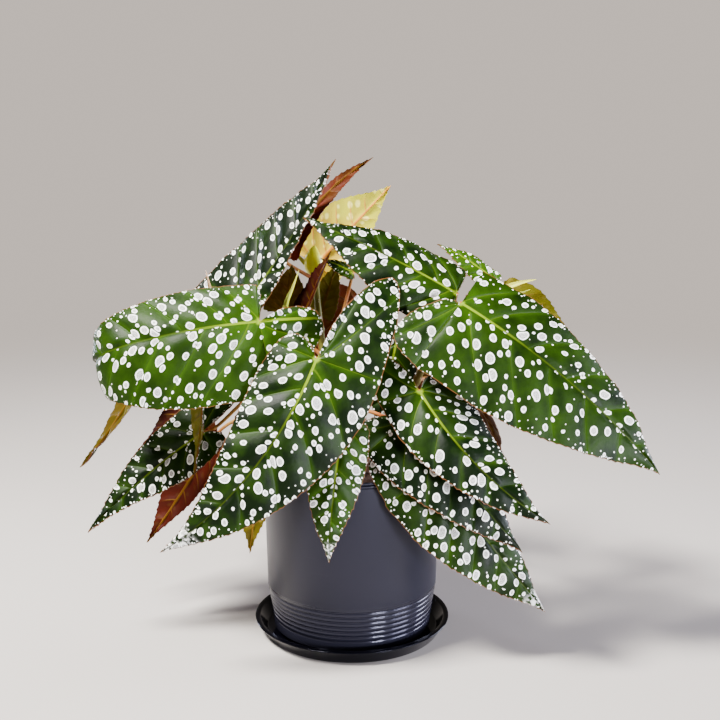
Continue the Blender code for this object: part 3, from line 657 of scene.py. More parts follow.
def cells(finish, spread, cell, stretch, feature):
    """Voronoi cells, longer along the veins by stretch."""
    settings = {"voronoi_dimensions": "2D", "feature": feature}
    size = (1 / (cell * stretch), 1 / cell, 1.0)
    return finish.node("TexVoronoi", settings, {"Vector": finish.scaled(spread, size),
                                                "Scale": 1.0, "Randomness": CELL_RANDOMNESS})


def spots(finish, spread, cell, least, most, chance, stretch=1.4, limit=None, larger=None):
    """How deep a point lies inside an oval, in millimetres, below nought
    outside: the radius less the distance from the cell's middle, and no more
    than the distance to the cell's border less a gap. chance is the share of
    cells with an oval, limit a factor on the radius, and larger a function
    that gives the same depth for the bigger ovals at any place."""
    near = cells(finish, spread, cell, stretch, "F1")
    outputs = near.socket.node.outputs
    lot, other, _ = finish.parts(Wire(finish, outputs["Color"]))
    radius = least + (most - least) * other
    hidden = (lot - chance).rise(0.0, 0.01)
    if limit is not None:
        radius = radius * limit
        hidden = hidden.most(limit.fall(0.2, 0.4))
    if larger is not None:
        middle = finish.scaled(Wire(finish, outputs["Position"]), (cell * stretch, cell, 1.0))
        hidden = hidden.most((larger(middle) + radius + SPOT_GAP).rise(0.0, 0.01))
    border = cells(finish, spread, cell, stretch, "DISTANCE_TO_EDGE") * cell - SPOT_GAP
    depth = finish.node("Math", {"operation": "SMOOTH_MIN"},
                        {0: radius - near * cell, 1: border, 2: ROUNDING})
    return depth - hidden * OUTSIDE


def blade_place(finish):
    """The place on the blade, read further on for one half, so that the two
    halves have their own spots."""
    x, y, side = finish.parts(finish.attribute("spread"))
    second = finish.node("Math", {"operation": "LESS_THAN"}, {0: side, 1: 0.0})
    return finish.node("CombineXYZ", None, {0: x + second * HALF_SHIFT, 1: y})


def blade_values(finish):
    """What the mesh says of a place: how far it is from the margin and the
    vein, its share of the length, how far it is from the midrib and the
    stalk, and the leaf's youth, how red it is, where values above 1 mean
    painted shade, and how densely it is spotted."""
    margin, stem, growth = (finish.parts(finish.attribute(name))
                            for name in ("margin", "stem", "growth"))
    return *margin, *stem[:2], *growth


def wobbled(finish, spread, size, by):
    """The place, pushed about by noise, which makes round shapes uneven. The
    noise is read as a colour, which gives three numbers at once."""
    cloud = finish.node("TexNoise", None,
                        {"Vector": spread, "Scale": 1 / size, "Detail": 0.0}, 1)
    centred = finish.node("VectorMath", {"operation": "SUBTRACT"}, {0: cloud, 1: (0.5,) * 3})
    return finish.node("VectorMath", {"operation": "ADD"},
                       {0: spread, 1: finish.scaled(centred, (by,) * 3)})


# %% [markdown]
# Under the spots the green is brighter along the veins and near the stalk,
# darker between the veins, and yellow-green on the midrib. A thin red-brown
# line with tiny pale beads runs round the margin. The numbers that the mesh
# carries at its points say where all of this lies, in millimetres from the
# margin, the nearest vein, the midrib and the stalk.

# %% Upper face of a leaf
BIG_SPOT = (10.8, 2.0, 3.8)
FAIR_SPOT = (7.0, 0.9, 2.0)
DOT = (4.4, 0.3, 0.7)
BEAD = (3.1, 0.3, 0.85)
SPOT_EDGE = 0.2
MARGIN_RED = (0.13, 0.045, 0.015)


def leaf_upper(name, deep, bright, rib, spot_colour):
    """Green with spots, veins and a beaded margin."""
    finish = Finish(name, 0.42, 0.08)
    spread = blade_place(finish)
    edge, vein, share, middle, base, young, _, dense = blade_values(finish)
    cloud = finish.noise(spread, 0.05, 3.0)
    grain = finish.noise(spread, 1.6)
    lit = (vein.fall(0.0, 5.0) * 0.22 + base.fall(4.0, 60.0) * 0.22 + young * 0.58
           + (cloud - 0.5) * 0.9 - 0.04)
    colour = finish.mix(lit.most(0.0).least(1.0), deep, bright)
    colour = finish.mix((grain - 0.35).most(0.0) * 0.6, colour, dimmed(deep, 0.45))
    near_stalk = base.fall(4.0, 70.0)
    side_vein = vein.fall(0.1, 0.6) * edge.rise(1.0, 14.0) * (0.02 + near_stalk * 0.22)
    colour = finish.mix(side_vein, colour, dimmed(rib, 0.7))
    width = 0.25 + 0.75 * (1 - share)
    main = (width - middle).rise(-0.35, 0.35) * (0.08 + near_stalk * 0.6)
    colour = finish.mix(main.most(base.fall(1.2, 4.0) * 0.8), colour, rib)
    uneven = wobbled(finish, spread, 5.0, 1.1)
    extra = (dense - 1).most(0.0)
    room = vein.rise(0.0, 2.5) * middle.rise(0.3, 3.5) * edge.rise(0.0, 9.0).most(extra * 1.6)
    swollen = 1 + extra * 1.3

    def big(at):
        """Depth inside the big spots at any place."""
        return spots(finish, at, *BIG_SPOT, 0.50 + dense * 0.42, 1.35,
                     (room * 0.45 + 0.55) * swollen)

    fair = spots(finish, uneven, *FAIR_SPOT, 0.12 + dense * 0.5, 1.3, None, big)
    large = big(uneven)
    deepest = large.most(fair)
    dots = spots(finish, spread, *DOT, 0.06 + edge.fall(4.0, 12.0) * 0.5, 1.1,
                 deepest.fall(-1.4, -0.5))
    beads = spots(finish, spread, *BEAD, 0.6, 1.1, edge.fall(1.5, 3.0))
    deepest = deepest.most(dots).most(beads)
    bare = middle.rise(0.5, 1.2) * vein.rise(0.05, 0.4)
    wash = finish.noise(spread, 0.3, 3.0).rise(0.44, 0.56) * extra.rise(0.1, 0.4) * 0.8
    spotted = (deepest.rise(-SPOT_EDGE, SPOT_EDGE) * bare).most(wash)
    fleck = finish.noise(spread, 1.3, 3.0)
    middle_grey = deepest.rise(0.45, 1.1) * (0.55 + fleck.rise(0.35, 0.65) * 0.45)
    silver = finish.mix(middle_grey, spot_colour, dimmed(spot_colour, 0.2))
    colour = finish.mix(spotted, colour, silver)
    colour = finish.mix(edge.fall(0.2, 0.6) * 0.85, colour, MARGIN_RED)
    height = (vein.rise(0.0, 1.8) * 0.9 + grain * 0.15 + spotted * 0.12
              + finish.noise(spread, 0.35) * 0.4)
    roughness = 0.36 + spotted * 0.16 + cloud * 0.14
    return finish.done(colour, roughness, height, 0.6 * MM, 0.7)


LEAF_UPPER = leaf_upper("begonia_green", (0.0011, 0.0052, 0.0003), (0.028, 0.078, 0.0004),
                        (0.20, 0.30, 0.006), (0.97, 0.98, 0.94))
LEAF_PALE = leaf_upper("begonia_pale_green", (0.26, 0.30, 0.03), (0.44, 0.47, 0.06),
                       (0.52, 0.52, 0.10), (0.80, 0.80, 0.60))
print("upper finishes:", LEAF_UPPER.name, LEAF_PALE.name)

# %% [markdown]
# The underside is red-brown on most leaves and olive on some. Its veins stand
# out instead of lying in grooves, and are paler. Because the blade is thin,
# pale spots show through it faintly.

# %% Underside of a leaf
BACK_SPOT = (7.5, 1.0, 2.3)


def leaf_under(name, olive, red, rib, pale, show):
    """A red or olive underside with raised veins and faint spots."""
    finish = Finish(name, 0.5, 0.06)
    spread = blade_place(finish)
    edge, vein, share, middle, base, young, redness_and_shade, dense = blade_values(finish)
    cloud = finish.noise(spread, 0.05, 3.0)
    grain = finish.noise(spread, 1.2)
    fresh = finish.mix(young, olive, dimmed(olive, 3.2))
    amount = (redness_and_shade + (cloud - 0.5) * 0.9).most(0.0).least(1.0)
    colour = finish.mix(amount, fresh, red)
    # Painted light: near the stalk the red is made brighter, as if light shone through the thin blade
    # there; it fades on leaves darkened by painted shade.
    warm = base.fall(20.0, 70.0) * amount * (2 - redness_and_shade).least(1.0) * 0.6
    colour = finish.mix(warm, colour, dimmed(red, 3.0))
    # Painted shade: where the leaf's red value is above 1, the red is darkened towards near-black.
    colour = finish.mix((redness_and_shade - 1).most(0.0), colour, dimmed(red, 0.3))
    colour = finish.mix((grain - 0.3) * 0.3, colour, dimmed(red, 0.4))
    through = spots(finish, wobbled(finish, spread, 4.0, 1.0), *BACK_SPOT, 0.75)
    shown = show + young * 0.3 + (dense - 0.6).most(0.0)
    colour = finish.mix(through.rise(-0.8, 0.8) * shown, colour, pale)
    width = 0.5 + 1.3 * (1 - share)
    main = (width - middle).rise(-0.4, 0.4)
    lines = main.most(vein.fall(0.3, 1.0) * edge.rise(0.5, 12.0) * 0.8).most(base.fall(2.0, 6.0))
    colour = finish.mix(lines * 0.7, colour, rib)
    height = lines * 0.8 + grain * 0.15 + finish.noise(spread, 0.4) * 0.5
    return finish.done(colour, 0.46 + cloud * 0.15, height, 0.8 * MM, 0.7)


LEAF_UNDER = leaf_under("begonia_underside", (0.040, 0.038, 0.001), (0.060, 0.007, 0.002),
                        (0.13, 0.060, 0.005), (0.20, 0.16, 0.03), 0.04)
LEAF_UNDER_PALE = leaf_under("begonia_pale_underside", (0.125, 0.140, 0.003),
                             (0.30, 0.15, 0.018), (0.50, 0.12, 0.02), (0.84, 0.78, 0.18), 0.35)
print("underside finishes:", LEAF_UNDER.name, LEAF_UNDER_PALE.name)

# %% [markdown]
# Every leaf is made from its line in the table and takes the place of its
# solid. The pale leaf at the top is young and still almost yellow, and the
# folded one in the middle shows the red of its underside all over.

# %% Make the leaves
PALE_LEAVES = ("leaf_top_pale",)
FOLDED_LEAVES = ("leaf_young",)


def make_leaf(spec, number):
    """The fine blade that stands for one leaf's solid."""
    points, faces, slots, values = blade_shell(spec, number)
    pale = spec["name"] in PALE_LEAVES
    finishes = (LEAF_PALE, LEAF_UNDER_PALE) if pale else (LEAF_UPPER, LEAF_UNDER)
    if spec["name"] in FOLDED_LEAVES:
        finishes = (LEAF_UNDER, LEAF_UNDER)
    made = put_mesh(spec["name"] + "_blade", points, faces, finishes, slots, values)
    return stands_for(made, "leaf_pale" if pale else "leaf_green", spec["name"])


blades = [make_leaf(spec, number) for number, spec in enumerate(LEAVES)]
print("blades:", len(blades), "faces:", sum(len(b.data.polygons) for b in blades))

# %% [markdown]
# ## Canes and leaf stalks
# The canes are jointed like bamboo: at every joint the cane is swollen and a
# stalk leaves it. A cane is a round bar carried along a smooth line. The
# stalk is a thinner bar on a cubic curve that leaves the cane sideways and
# meets the back of the blade more or less squarely.

# %% Lines of the canes
CANES = {
    "cane_left": (((-26, -6, 98), (-26, -6, 125), (-28, -6, 152), (-46, -8, 195),
                   (-74, -8, 234), (-98, -6, 262), (-112, -4, 284)), 4.2, 2.6),
    "cane_middle": (((-8, 18, 98), (-8, 18, 125), (-9, 19, 152), (-18, 28, 200),
                     (-26, 40, 245), (-30, 52, 280), (-31, 58, 298)), 4.2, 2.4),
    "cane_right": (((31, 0, 98), (31, 0, 125), (33, 0, 152), (46, -2, 200),
                    (68, -3, 245), (98, 0, 278), (124, 2, 293)), 4.2, 2.4),
    "cane_front": (((2, -34, 98), (2, -34, 125), (2, -35, 152), (0, -40, 185),
                    (-4, -46, 210), (-8, -50, 228)), 3.8, 2.4),
    "cane_back": (((6, 46, 98), (6, 46, 125), (7, 48, 152), (12, 62, 200),
                   (20, 74, 245), (24, 82, 268)), 4.0, 2.4),
}
SHOOT = ((-64, -8, 225), (-60, -9, 244), (-56, -10, 264), (-54, -10, 282))


def tube(points, radii, sides):
    """Points and faces of a round bar: a ring square to the path at every
    point, carried along without twist, with a flat cap at each end."""
    points = np.asarray(points, dtype=float)
    along = unit(np.gradient(points, axis=0))
    helper = np.array([1.0, 0.0, 0.0] if abs(along[:, 0]).mean() < 0.8 else [0.0, 1.0, 0.0])
    first = unit(helper - (along @ helper)[:, None] * along)
    second = np.cross(along, first)
    angle = np.arange(sides) * math.tau / sides
    rim = (points[:, None] + np.asarray(radii)[:, None, None]
           * (np.cos(angle)[None, :, None] * first[:, None]
              + np.sin(angle)[None, :, None] * second[:, None]))
    rows = len(points)
    ends = np.stack([points[0], points[-1]])
    around = np.arange(sides)
    near = (around + 1) % sides
    low = np.stack([near, around, around * 0 + rows * sides], -1)
    high = np.stack([(rows - 1) * sides + around, (rows - 1) * sides + near,
                     around * 0 + rows * sides + 1], -1)
    faces = [*grid_faces(rows, sides, turned=True, closed=True), *low, *high]
    return np.vstack([rim.reshape(-1, 3), ends]), faces


bar = tube([(0, 0, 0), (0, 0, 1), (0, 0, 2)], [1, 1, 1], 8)
print("a bar of eight sides:", len(bar[0]), "points,", len(bar[1]), "faces")

# %% [markdown]
# The canes are olive with a soft shine and pale breathing pores, and browner
# near the soil. The stalks are tan to reddish and finely streaked along their
# length.

# %% Finishes of canes and stalks
def cane_finish():
    """Olive to brown with pale pores; browner near the soil."""
    finish = Finish("begonia_cane", 0.42, 0.12)
    place = finish.place()
    _, _, high = finish.parts(place)
    cloud = finish.noise(place, 90.0, 3.0)
    pore = finish.node("TexVoronoi", None, {"Vector": finish.scaled(place, (1, 1, 0.6)),
                                            "Scale": 330.0})
    woody = high.fall(0.16, 0.27) + (cloud - 0.5) * 0.8
    colour = finish.mix(woody.most(0.0).least(1.0), (0.17, 0.17, 0.03), (0.11, 0.055, 0.025))
    pores = pore.fall(0.12, 0.2)
    colour = finish.mix(pores * 0.7, colour, (0.42, 0.36, 0.2))
    return finish.done(colour, 0.36 + cloud * 0.2, pores * 0.5 + cloud * 0.6, 0.3 * MM, 0.6)


def stalk_finish():
    """Tan and reddish, streaked lengthwise by stretched noise."""
    finish = Finish("begonia_stalk", 0.4, 0.2)
    place = finish.place()
    cloud = finish.noise(place, 28.0)
    streak = finish.noise(finish.scaled(place, (900.0, 900.0, 60.0)), 1.0)
    colour = finish.mix(cloud.rise(0.35, 0.65), (0.52, 0.28, 0.06), (0.42, 0.12, 0.035))
    colour = finish.mix(streak * 0.35, colour, (0.12, 0.05, 0.015))
    return finish.done(colour, 0.34 + streak * 0.2, streak, 0.15 * MM, 0.5)


CANE = cane_finish()
STALK = stalk_finish()
print("cane finishes:", CANE.name, STALK.name)

# %% [markdown]
# A cane and its stalks are separate bars that run into one another. A
# Boolean union makes one clean body of them, as the real plant is, and keeps
# each bar's own finish. A stalk is thicker where it leaves the cane and again
# where it meets the blade.

# %% Make the canes
STALK_RADIUS = 1.7 * MM
STALK_TIP_RADIUS = 1.35 * MM
STALK_RISE = 0.3
STALK_EASE = 0.35
STALK_SEAT = 0.4
STALK_FOOT_SWELL = 0.5
STALK_HEAD_SWELL = 0.25
CANE_SIDES = 20
STALK_SIDES = 12
JOINT_BULGE = 1.34
JOINT_WIDTH = 2.2 * MM
CANE_RINGS = 90
STALK_RINGS = 22


def cane_line(name, share):
    """Points of a cane's middle line at the given shares."""
    return catmull(np.array(CANES[name][0]) * MM, np.atleast_1d(share))


def stalk_path(spec):
    """The stalk's middle line, a cubic curve from inside the cane to the
    back of the blade."""
    _, place, along, face, _, _ = midrib(spec)
    zero = round(-ARC_START / (1 - ARC_START) * ARC_STEPS)
    heading = unit(face[zero] * spec["square"] + along[zero] * (1 - spec["square"]))
    end = place[zero] - face[zero] * BLADE_THICK * STALK_SEAT
    start = cane_line(spec["cane"], spec["at"])[0]
    reach = np.linalg.norm(end - start)
    out = end - start
    out[2] = max(out[2], STALK_RISE * reach)
    leave = start + unit(out) * reach * STALK_EASE
    arrive = end - heading * reach * STALK_EASE
    u = np.linspace(0, 1, STALK_RINGS)[:, None]
    return ((1 - u)**3 * start + 3 * (1 - u)**2 * u * leave
            + 3 * (1 - u) * u**2 * arrive + u**3 * end)


def combined(pieces, operation):
    """The first piece with the others joined to it (UNION) or cut out of it
    (DIFFERENCE), as one closed body."""
    body = pieces[0]
    for other in pieces[1:]:
        step = body.modifiers.new("combine", "BOOLEAN")
        step.operation = operation
        step.material_mode = "TRANSFER"
        step.object = other
        graph = bpy.context.evaluated_depsgraph_get()
        body.data = bpy.data.meshes.new_from_object(body.evaluated_get(graph))
        body.modifiers.clear()
        bpy.data.objects.remove(other, do_unlink=True)
    body.data.polygons.foreach_set("use_smooth", np.ones(len(body.data.polygons), dtype=bool))
    body.data.set_sharp_from_angle(angle=SHARP)
    return body


def make_cane(name):
    """A cane with its leaf stalks. Its radius narrows evenly upwards and
    swells at each joint by a bell curve of the distance from it."""
    share = np.linspace(0, 1, CANE_RINGS)
    line = cane_line(name, share)
    along = np.concatenate([[0], np.cumsum(np.linalg.norm(np.diff(line, axis=0), axis=1))])
    foot, top = CANES[name][1:]
    specs = [spec for spec in LEAVES if spec["cane"] == name]
    joints = np.interp([spec["at"] for spec in specs], share, along)
    swell = np.exp(-((along[:, None] - joints[None]) / JOINT_WIDTH) ** 2).max(1)
    radii = (foot + (top - foot) * share) * MM * (1 + (JOINT_BULGE - 1) * swell)
    pieces = [put_mesh("jointed_" + name, *tube(line, radii, CANE_SIDES), [CANE])]
    for spec in specs:
        grow = np.linspace(0, 1, STALK_RINGS)
        radii = STALK_RADIUS + (STALK_TIP_RADIUS - STALK_RADIUS) * smooth(grow, 0, 1)
        radii = radii * (1 + STALK_FOOT_SWELL * np.exp(-((grow * 14) ** 2))
                         + STALK_HEAD_SWELL * smooth(grow, 0.9, 1.0))
        shape = tube(stalk_path(spec), radii, STALK_SIDES)
        pieces.append(put_mesh(spec["name"] + "_stalk", *shape, [STALK]))
    if name == "cane_left":
        line = catmull(np.array(SHOOT) * MM, np.linspace(0, 1, STALK_RINGS))
        shape = tube(line, np.full(STALK_RINGS, STALK_RADIUS), STALK_SIDES)
        pieces.append(put_mesh("young_shoot", *shape, [CANE]))
    return stands_for(combined(pieces, "UNION"), "cane", name)


canes = [make_cane(name) for name in CANES]
print("canes:", [(c.name, len(c.data.polygons)) for c in canes])

# %% [markdown]
# ## Bud and stipules
# At its growing points the plant has stipules, thin pointed scales that
# sheathed the young leaves, and one fat glossy bud. Both change colour
# towards the tip.

# %% Finishes of young growth
def growth_finish(name, low_colour, high_colour, start, end, coat=0.0):
    """One colour at the foot that turns to another towards the tip; the
    change runs up the piece between two heights."""
    finish = Finish(name, 0.32, coat=coat)
    place = finish.place()
    _, _, high = finish.parts(place)
    cloud = finish.noise(place, 120.0, 3.0)
    streak = finish.noise(finish.scaled(place, (700.0, 700.0, 90.0)), 1.0)
    mask = (high.rise(start, end) + (cloud - 0.5) * 0.5).most(0.0).least(1.0)
    colour = finish.mix(mask, low_colour, high_colour)
    colour = finish.mix(streak * 0.25, colour, dimmed(low_colour, 0.5))
    return finish.done(colour, 0.28 + cloud * 0.2, streak + cloud, 0.2 * MM, 0.5)


PINK_SCALE = growth_finish("stipule_pink", (0.45, 0.34, 0.10), (0.72, 0.46, 0.30), 0.29, 0.31)
GREEN_SCALE = growth_finish("stipule_green", (0.30, 0.36, 0.03), (0.62, 0.60, 0.07), 0.28, 0.31)
BUD = growth_finish("bud_green", (0.84, 0.92, 0.004), (0.97, 0.97, 0.01), 0.298, 0.318, 0.35)
print("young growth:", PINK_SCALE.name, GREEN_SCALE.name, BUD.name)

# %% [markdown]
# Each scale is a sheet along a short curve: its width swells and then runs
# out to a point, and its two halves are folded up like a boat. The sheet is
# doubled into two skins that meet at the margin.

# %% Stipules and bud
SCALE_ROWS = 24
SCALE_COLS = 9
SCALE_FOLD = 0.5
SCALE_THICK = 0.35 * MM
SCALE_EDGE = 0.02 * MM


def scale_leaf(name, points, width, facing, finish):
    """A folded scale: points of its middle line and its greatest half-width
    in millimetres, and the direction that its hollow looks to. The
    half-width is a power of what is left to the tip."""
    share = np.linspace(0, 1, SCALE_ROWS)
    line = catmull(np.array(points) * MM, share)
    along = unit(np.gradient(line, axis=0))
    look = unit(facing - (along @ facing)[:, None] * along)
    side = np.cross(along, look)
    half = width * MM * np.clip(1 - share, 0, 1) ** 0.8 * (0.55 + 0.45 * smooth(share, 0, 0.25))
    v = np.linspace(-1, 1, SCALE_COLS)[None, :, None]
    sheet = (line[:, None] + side[:, None] * v * (half * math.cos(SCALE_FOLD))[:, None, None]
             + look[:, None] * np.abs(v) ** 1.5 * (half * math.sin(SCALE_FOLD))[:, None, None])
    thick = SCALE_THICK * (1 - v**2) + SCALE_EDGE
    skins = np.stack([sheet, sheet - look[:, None] * thick]).reshape(-1, 3)
    return put_mesh(name, skins, two_skins(*sheet.shape[:2], True), [finish])


SCALES = (
    ("left_top", "left", ((-56, -10, 262), (-53, -10, 284), (-48, -9, 296), (-42, -8, 312)),
     3.2, (0.2, -1, 0.2), GREEN_SCALE),
    ("left_tip", "left", ((-112, -5, 284), (-115, -6, 296), (-118, -6, 311)),
     3.0, (0.3, -1, 0.2), PINK_SCALE),
    ("middle", "middle", ((-36, 59, 302), (-46, 62, 312), (-54, 66, 322)),
     2.8, (0, -1, 0.4), GREEN_SCALE),
    ("right_high", "right", ((124, 2, 294), (138, 1, 299), (151, 0, 302)),
     3.2, (0, -1, 0.5), GREEN_SCALE),
    ("right_low", "right", ((124, 3, 292), (136, 4, 290), (147, 5, 293)),
     2.8, (0, -1, -0.2), GREEN_SCALE),
    ("back", "back", ((24, 82, 268), (26, 84, 280), (29, 87, 292)), 3.0, (0, 1, 0.2), GREEN_SCALE),
)
for name, cane, points, width, facing, finish in SCALES:
    stands_for(scale_leaf("stipule_" + name, points, width, facing, finish), "cane", "cane_" + cane)
print("stipules:", len(SCALES))

# %% [markdown]
# The bud is a drop turned round its own slanting line: the radius swells
# quickly from the foot and closes in a blunt point.

# %% Bud
BUD_LINE = ((-31, 58, 296), (-33, 60, 306), (-33, 60, 314), (-32, 60, 322))
BUD_RADIUS = 8.2 * MM
BUD_RINGS = 28
BUD_SIDES = 24


def make_bud():
    """A drop on a short line: its radius follows a sine, which starts part
    of the way up and is raised to a power that makes it blunter."""
    share = np.linspace(0, 1, BUD_RINGS)
    radii = BUD_RADIUS * np.sin(np.pi * (0.12 + 0.88 * share) ** 0.8) ** 0.75
    shape = tube(catmull(np.array(BUD_LINE) * MM, share), np.maximum(radii, 0.05 * MM), BUD_SIDES)
    return put_mesh("leaf_bud", *shape, [BUD])


stands_for(make_bud(), "cane", "cane_middle")
print("bud made")

# %% [markdown]
# ## The pot
# The pot is moulded plastic: two thin beads round the rim with a dark gap
# between them, a wall that tapers very little, and seven grooves above the
# foot. A turned thing is a profile carried round its axis, and rounding is
# drawn into the profile so that the edges catch the light.

# %% Profiles carried round the axis
TURNED_SIDES = 160


def arc(centre, radius, start, end, steps=5):
    """Points on part of a circle, angles in degrees."""
    angle = np.radians(np.linspace(start, end, steps))
    return [(centre[0] + radius * math.cos(a), centre[1] + radius * math.sin(a)) for a in angle]


def turned(name, profile, finish):
    """A closed profile of (radius, height) points in millimetres, which runs
    down the outside and up the inside, carried round the axis."""
    profile = np.array(profile) * MM
    angle = np.arange(TURNED_SIDES) * math.tau / TURNED_SIDES
    points = np.stack([profile[:, :1] * np.cos(angle), profile[:, :1] * np.sin(angle),
                       profile[:, 1:] + 0 * angle], -1)
    return put_mesh(name, points, grid_faces(len(profile), TURNED_SIDES, closed=True), [finish])


BEADS = ((152.0, 75.0), (149.2, 74.6))
GROOVES = 7
GROOVE_PITCH = 4.4
GROOVES_TOP = 41.7
WALL_RADIUS = 71.8
FOOT_RADIUS = 67.0


def pot_profile():
    """The pot's outline: beads, wall, grooves, foot and inside. A bead is
    two arcs that meet on its outermost line."""
    outline_points = [(72.4, 151.9), (73.6, 152.0)]
    for top, radius in BEADS:
        outline_points += arc((radius - 0.7, top - 0.7), 0.7, 90, 0)
        outline_points += arc((radius - 0.6, top - 1.1), 0.6, 0, -90)
        outline_points += [(73.3, top - 1.8)]
    outline_points += [(73.3, 147.0), (73.9, 146.6)]
    fall = (WALL_RADIUS - FOOT_RADIUS) / GROOVES
    for k in range(GROOVES):
        high, edge = GROOVES_TOP - k * GROOVE_PITCH, WALL_RADIUS - k * fall
        outline_points += [(edge - 0.05, high + 0.55), (edge - 0.35, high + 0.15),
                           (edge - 1.0, high - 0.35), (edge - 1.15, high - 0.75),
                           (edge - 1.0, high - 1.15), (edge - 0.5 - fall * 0.5, high - 1.5),
                           (edge - fall, high - 2.0)]
    outline_points += [(FOOT_RADIUS, 9.6), (FOOT_RADIUS, 7.0), (66.7, 6.2), (65.8, 5.8), (60.0, 5.8),
                       (0.0, 5.8), (0.0, 8.4), (64.0, 8.4), (69.8, 41.7), (71.9, 150.9),
                       (72.4, 151.9)]
    return outline_points


print("pot profile points:", len(pot_profile()))

# %% [markdown]
# The plastic is a bluish dark grey with a satin surface. Real moulded plastic
# isn't quite even: it has a very fine orange-peel skin and a few faint scuffs,
# its shine changes from place to place, and the grooves low on the pot are
# glossier than the wall above them.

# %% Plastic finishes
BLUISH = (0.76, 0.78, 1.0, 1.0)
POLISH_FADE = 3 * MM


def plastic(name, colour, scuffed, low, high, peel, shine, glossy_below):
    """Satin or glossy plastic with orange peel and faint scuffs; low and
    high are the least and greatest roughness, and below a height the
    plastic is polished."""
    finish = Finish(name, low, shine)
    finish.shader.inputs["Specular Tint"].default_value = BLUISH
    place = finish.place()
    skin = finish.noise(place, 900.0)
    cloud = finish.noise(place, 14.0, 4.0)
    scuff = finish.noise(finish.scaled(place, (40.0, 40.0, 900.0)), 1.0, 3.0).rise(0.62, 0.78)
    shade = finish.mix(cloud.rise(0.3, 0.7) * 0.35, colour, dimmed(colour, 0.8))
    shade = finish.mix(scuff * 0.1, shade, scuffed)
    _, _, height = finish.parts(place)
    polished = height.fall(glossy_below, glossy_below + POLISH_FADE)
    rough = (low + (high - low) * cloud) * (1 - polished * 0.6)
    return finish.done(shade, rough, skin, peel, 0.25)


POT_PLASTIC = plastic("pot_grey_plastic", (0.0088, 0.0088, 0.0145), (0.03, 0.03, 0.045),
                      0.36, 0.41, 0.03 * MM, 0.26, 43 * MM)
SAUCER_PLASTIC = plastic("saucer_black_plastic", (0.001, 0.001, 0.002), (0.015, 0.015, 0.02),
                         0.08, 0.13, 0.01 * MM, 0.10, 0.0)
print("plastics:", POT_PLASTIC.name, SAUCER_PLASTIC.name)

# %% [markdown]
# Water runs out of the pot through a ring of round holes in its floor. They
# are drilled: each drill is a short round bar that is cut out of the pot.

# %% Pot
DRAIN_HOLES = 6
DRAIN_RADIUS = 5 * MM
DRAIN_CIRCLE = 48 * MM
DRILL_SIDES = 32
DRILL_HEIGHTS = np.array([[4.0], [7.0], [10.0]]) * MM


def drill(angle):
    """A short upright bar through the pot's floor."""
    path = (DRAIN_CIRCLE * np.array([[math.cos(angle), math.sin(angle), 0.0]])
            + DRILL_HEIGHTS * np.array([[0.0, 0.0, 1.0]]))
    return put_mesh("drill", *tube(path, [DRAIN_RADIUS] * 3, DRILL_SIDES), [POT_PLASTIC])


drills = [drill(angle) for angle in np.arange(DRAIN_HOLES) * math.tau / DRAIN_HOLES]
whole = turned("pot_body", pot_profile(), POT_PLASTIC)
pot = stands_for(combined([whole, *drills], "DIFFERENCE"), "pot_plastic", "pot")
print("pot faces:", len(pot.data.polygons))

# %% [markdown]
# The saucer is thinner and glossier, nearly black, with a flat lip. Its floor
# carries a raised ring, which the pot stands on.

# %% Saucer
SAUCER_PROFILE = [(78.4, 12.3), (78.9, 12.6), *arc((82.3, 11.9), 0.7, 90, -60, 7),
                  (81.6, 10.9), (81.0, 10.4), (75.0, 0.6), (74.3, 0.0), (40.0, 0.0), (0.0, 0.0),
                  (0.0, 2.0), (54.6, 2.0), (55.0, 2.4), (55.2, 5.2), (55.6, 5.5), (59.4, 5.5),
                  (59.8, 5.2), (60.0, 2.4), (60.4, 2.0), (71.9, 2.0), (72.8, 2.4), (78.4, 12.3)]
dish = turned("saucer_dish", SAUCER_PROFILE, SAUCER_PLASTIC)
saucer = stands_for(dish, "saucer_plastic", "saucer")
print("saucer faces:", len(saucer.data.polygons))

# %% [markdown]
# ## The soil
# Peat soil is dark, reddish and crumbly. Its top is a disc of rings whose
# height is a sum of waves, and small clods and fibres lie on it. The clods
# are squashed balls of a few faces with uneven radii, the fibres thin bent
# bars, and each is shaped and placed by a seeded draw.

# %% Soil finish
def soil_finish():
    """Dark peat with lighter fibres and reddish flecks."""
    finish = Finish("peat_soil", 0.95)
    place = finish.place()
    cloud = finish.noise(place, 160.0, 4.0)
    fleck = finish.noise(place, 620.0, 3.0)
    colour = finish.mix(cloud.rise(0.3, 0.7), (0.030, 0.014, 0.010), (0.085, 0.042, 0.028))
    colour = finish.mix(fleck.rise(0.6, 0.72) * 0.8, colour, (0.26, 0.15, 0.11))
    return finish.done(colour, 0.85 + cloud * 0.15, fleck + cloud, 1.0 * MM, 0.9)


SOIL = soil_finish()
print("soil finish:", SOIL.name)

# %% [markdown]
# The mound is highest in the middle, where the plant was firmed in, and lies
# a little below the rim all round.

# %% Soil mound
SOIL_RADIUS = 71.2 * MM
SOIL_TOP = 144.0 * MM
SOIL_CROWN = 3.0 * MM
SOIL_FLOOR = 120.0 * MM
SOIL_RINGS = 70
SOIL_SPOKES = 150


def soil_height(x, y):
    """Height of the soil: a crown that falls off from the middle, and waves
    of several lengths added together, quieter at the rim."""
    r = np.hypot(x, y) / SOIL_RADIUS
    waves = (np.sin(x / (7 * MM)) * np.cos(y / (6 * MM)) + np.sin((x + y) / (11 * MM))
             + 0.5 * np.sin(x / (2.3 * MM) + 3 * np.sin(y / (3.1 * MM)))
             + 0.35 * np.sin(y / (1.7 * MM) + 2 * np.sin(x / (2.2 * MM))))
    return SOIL_TOP + SOIL_CROWN * (1 - r**2) + 0.9 * MM * waves * np.clip(4 * (1 - r), 0, 1)


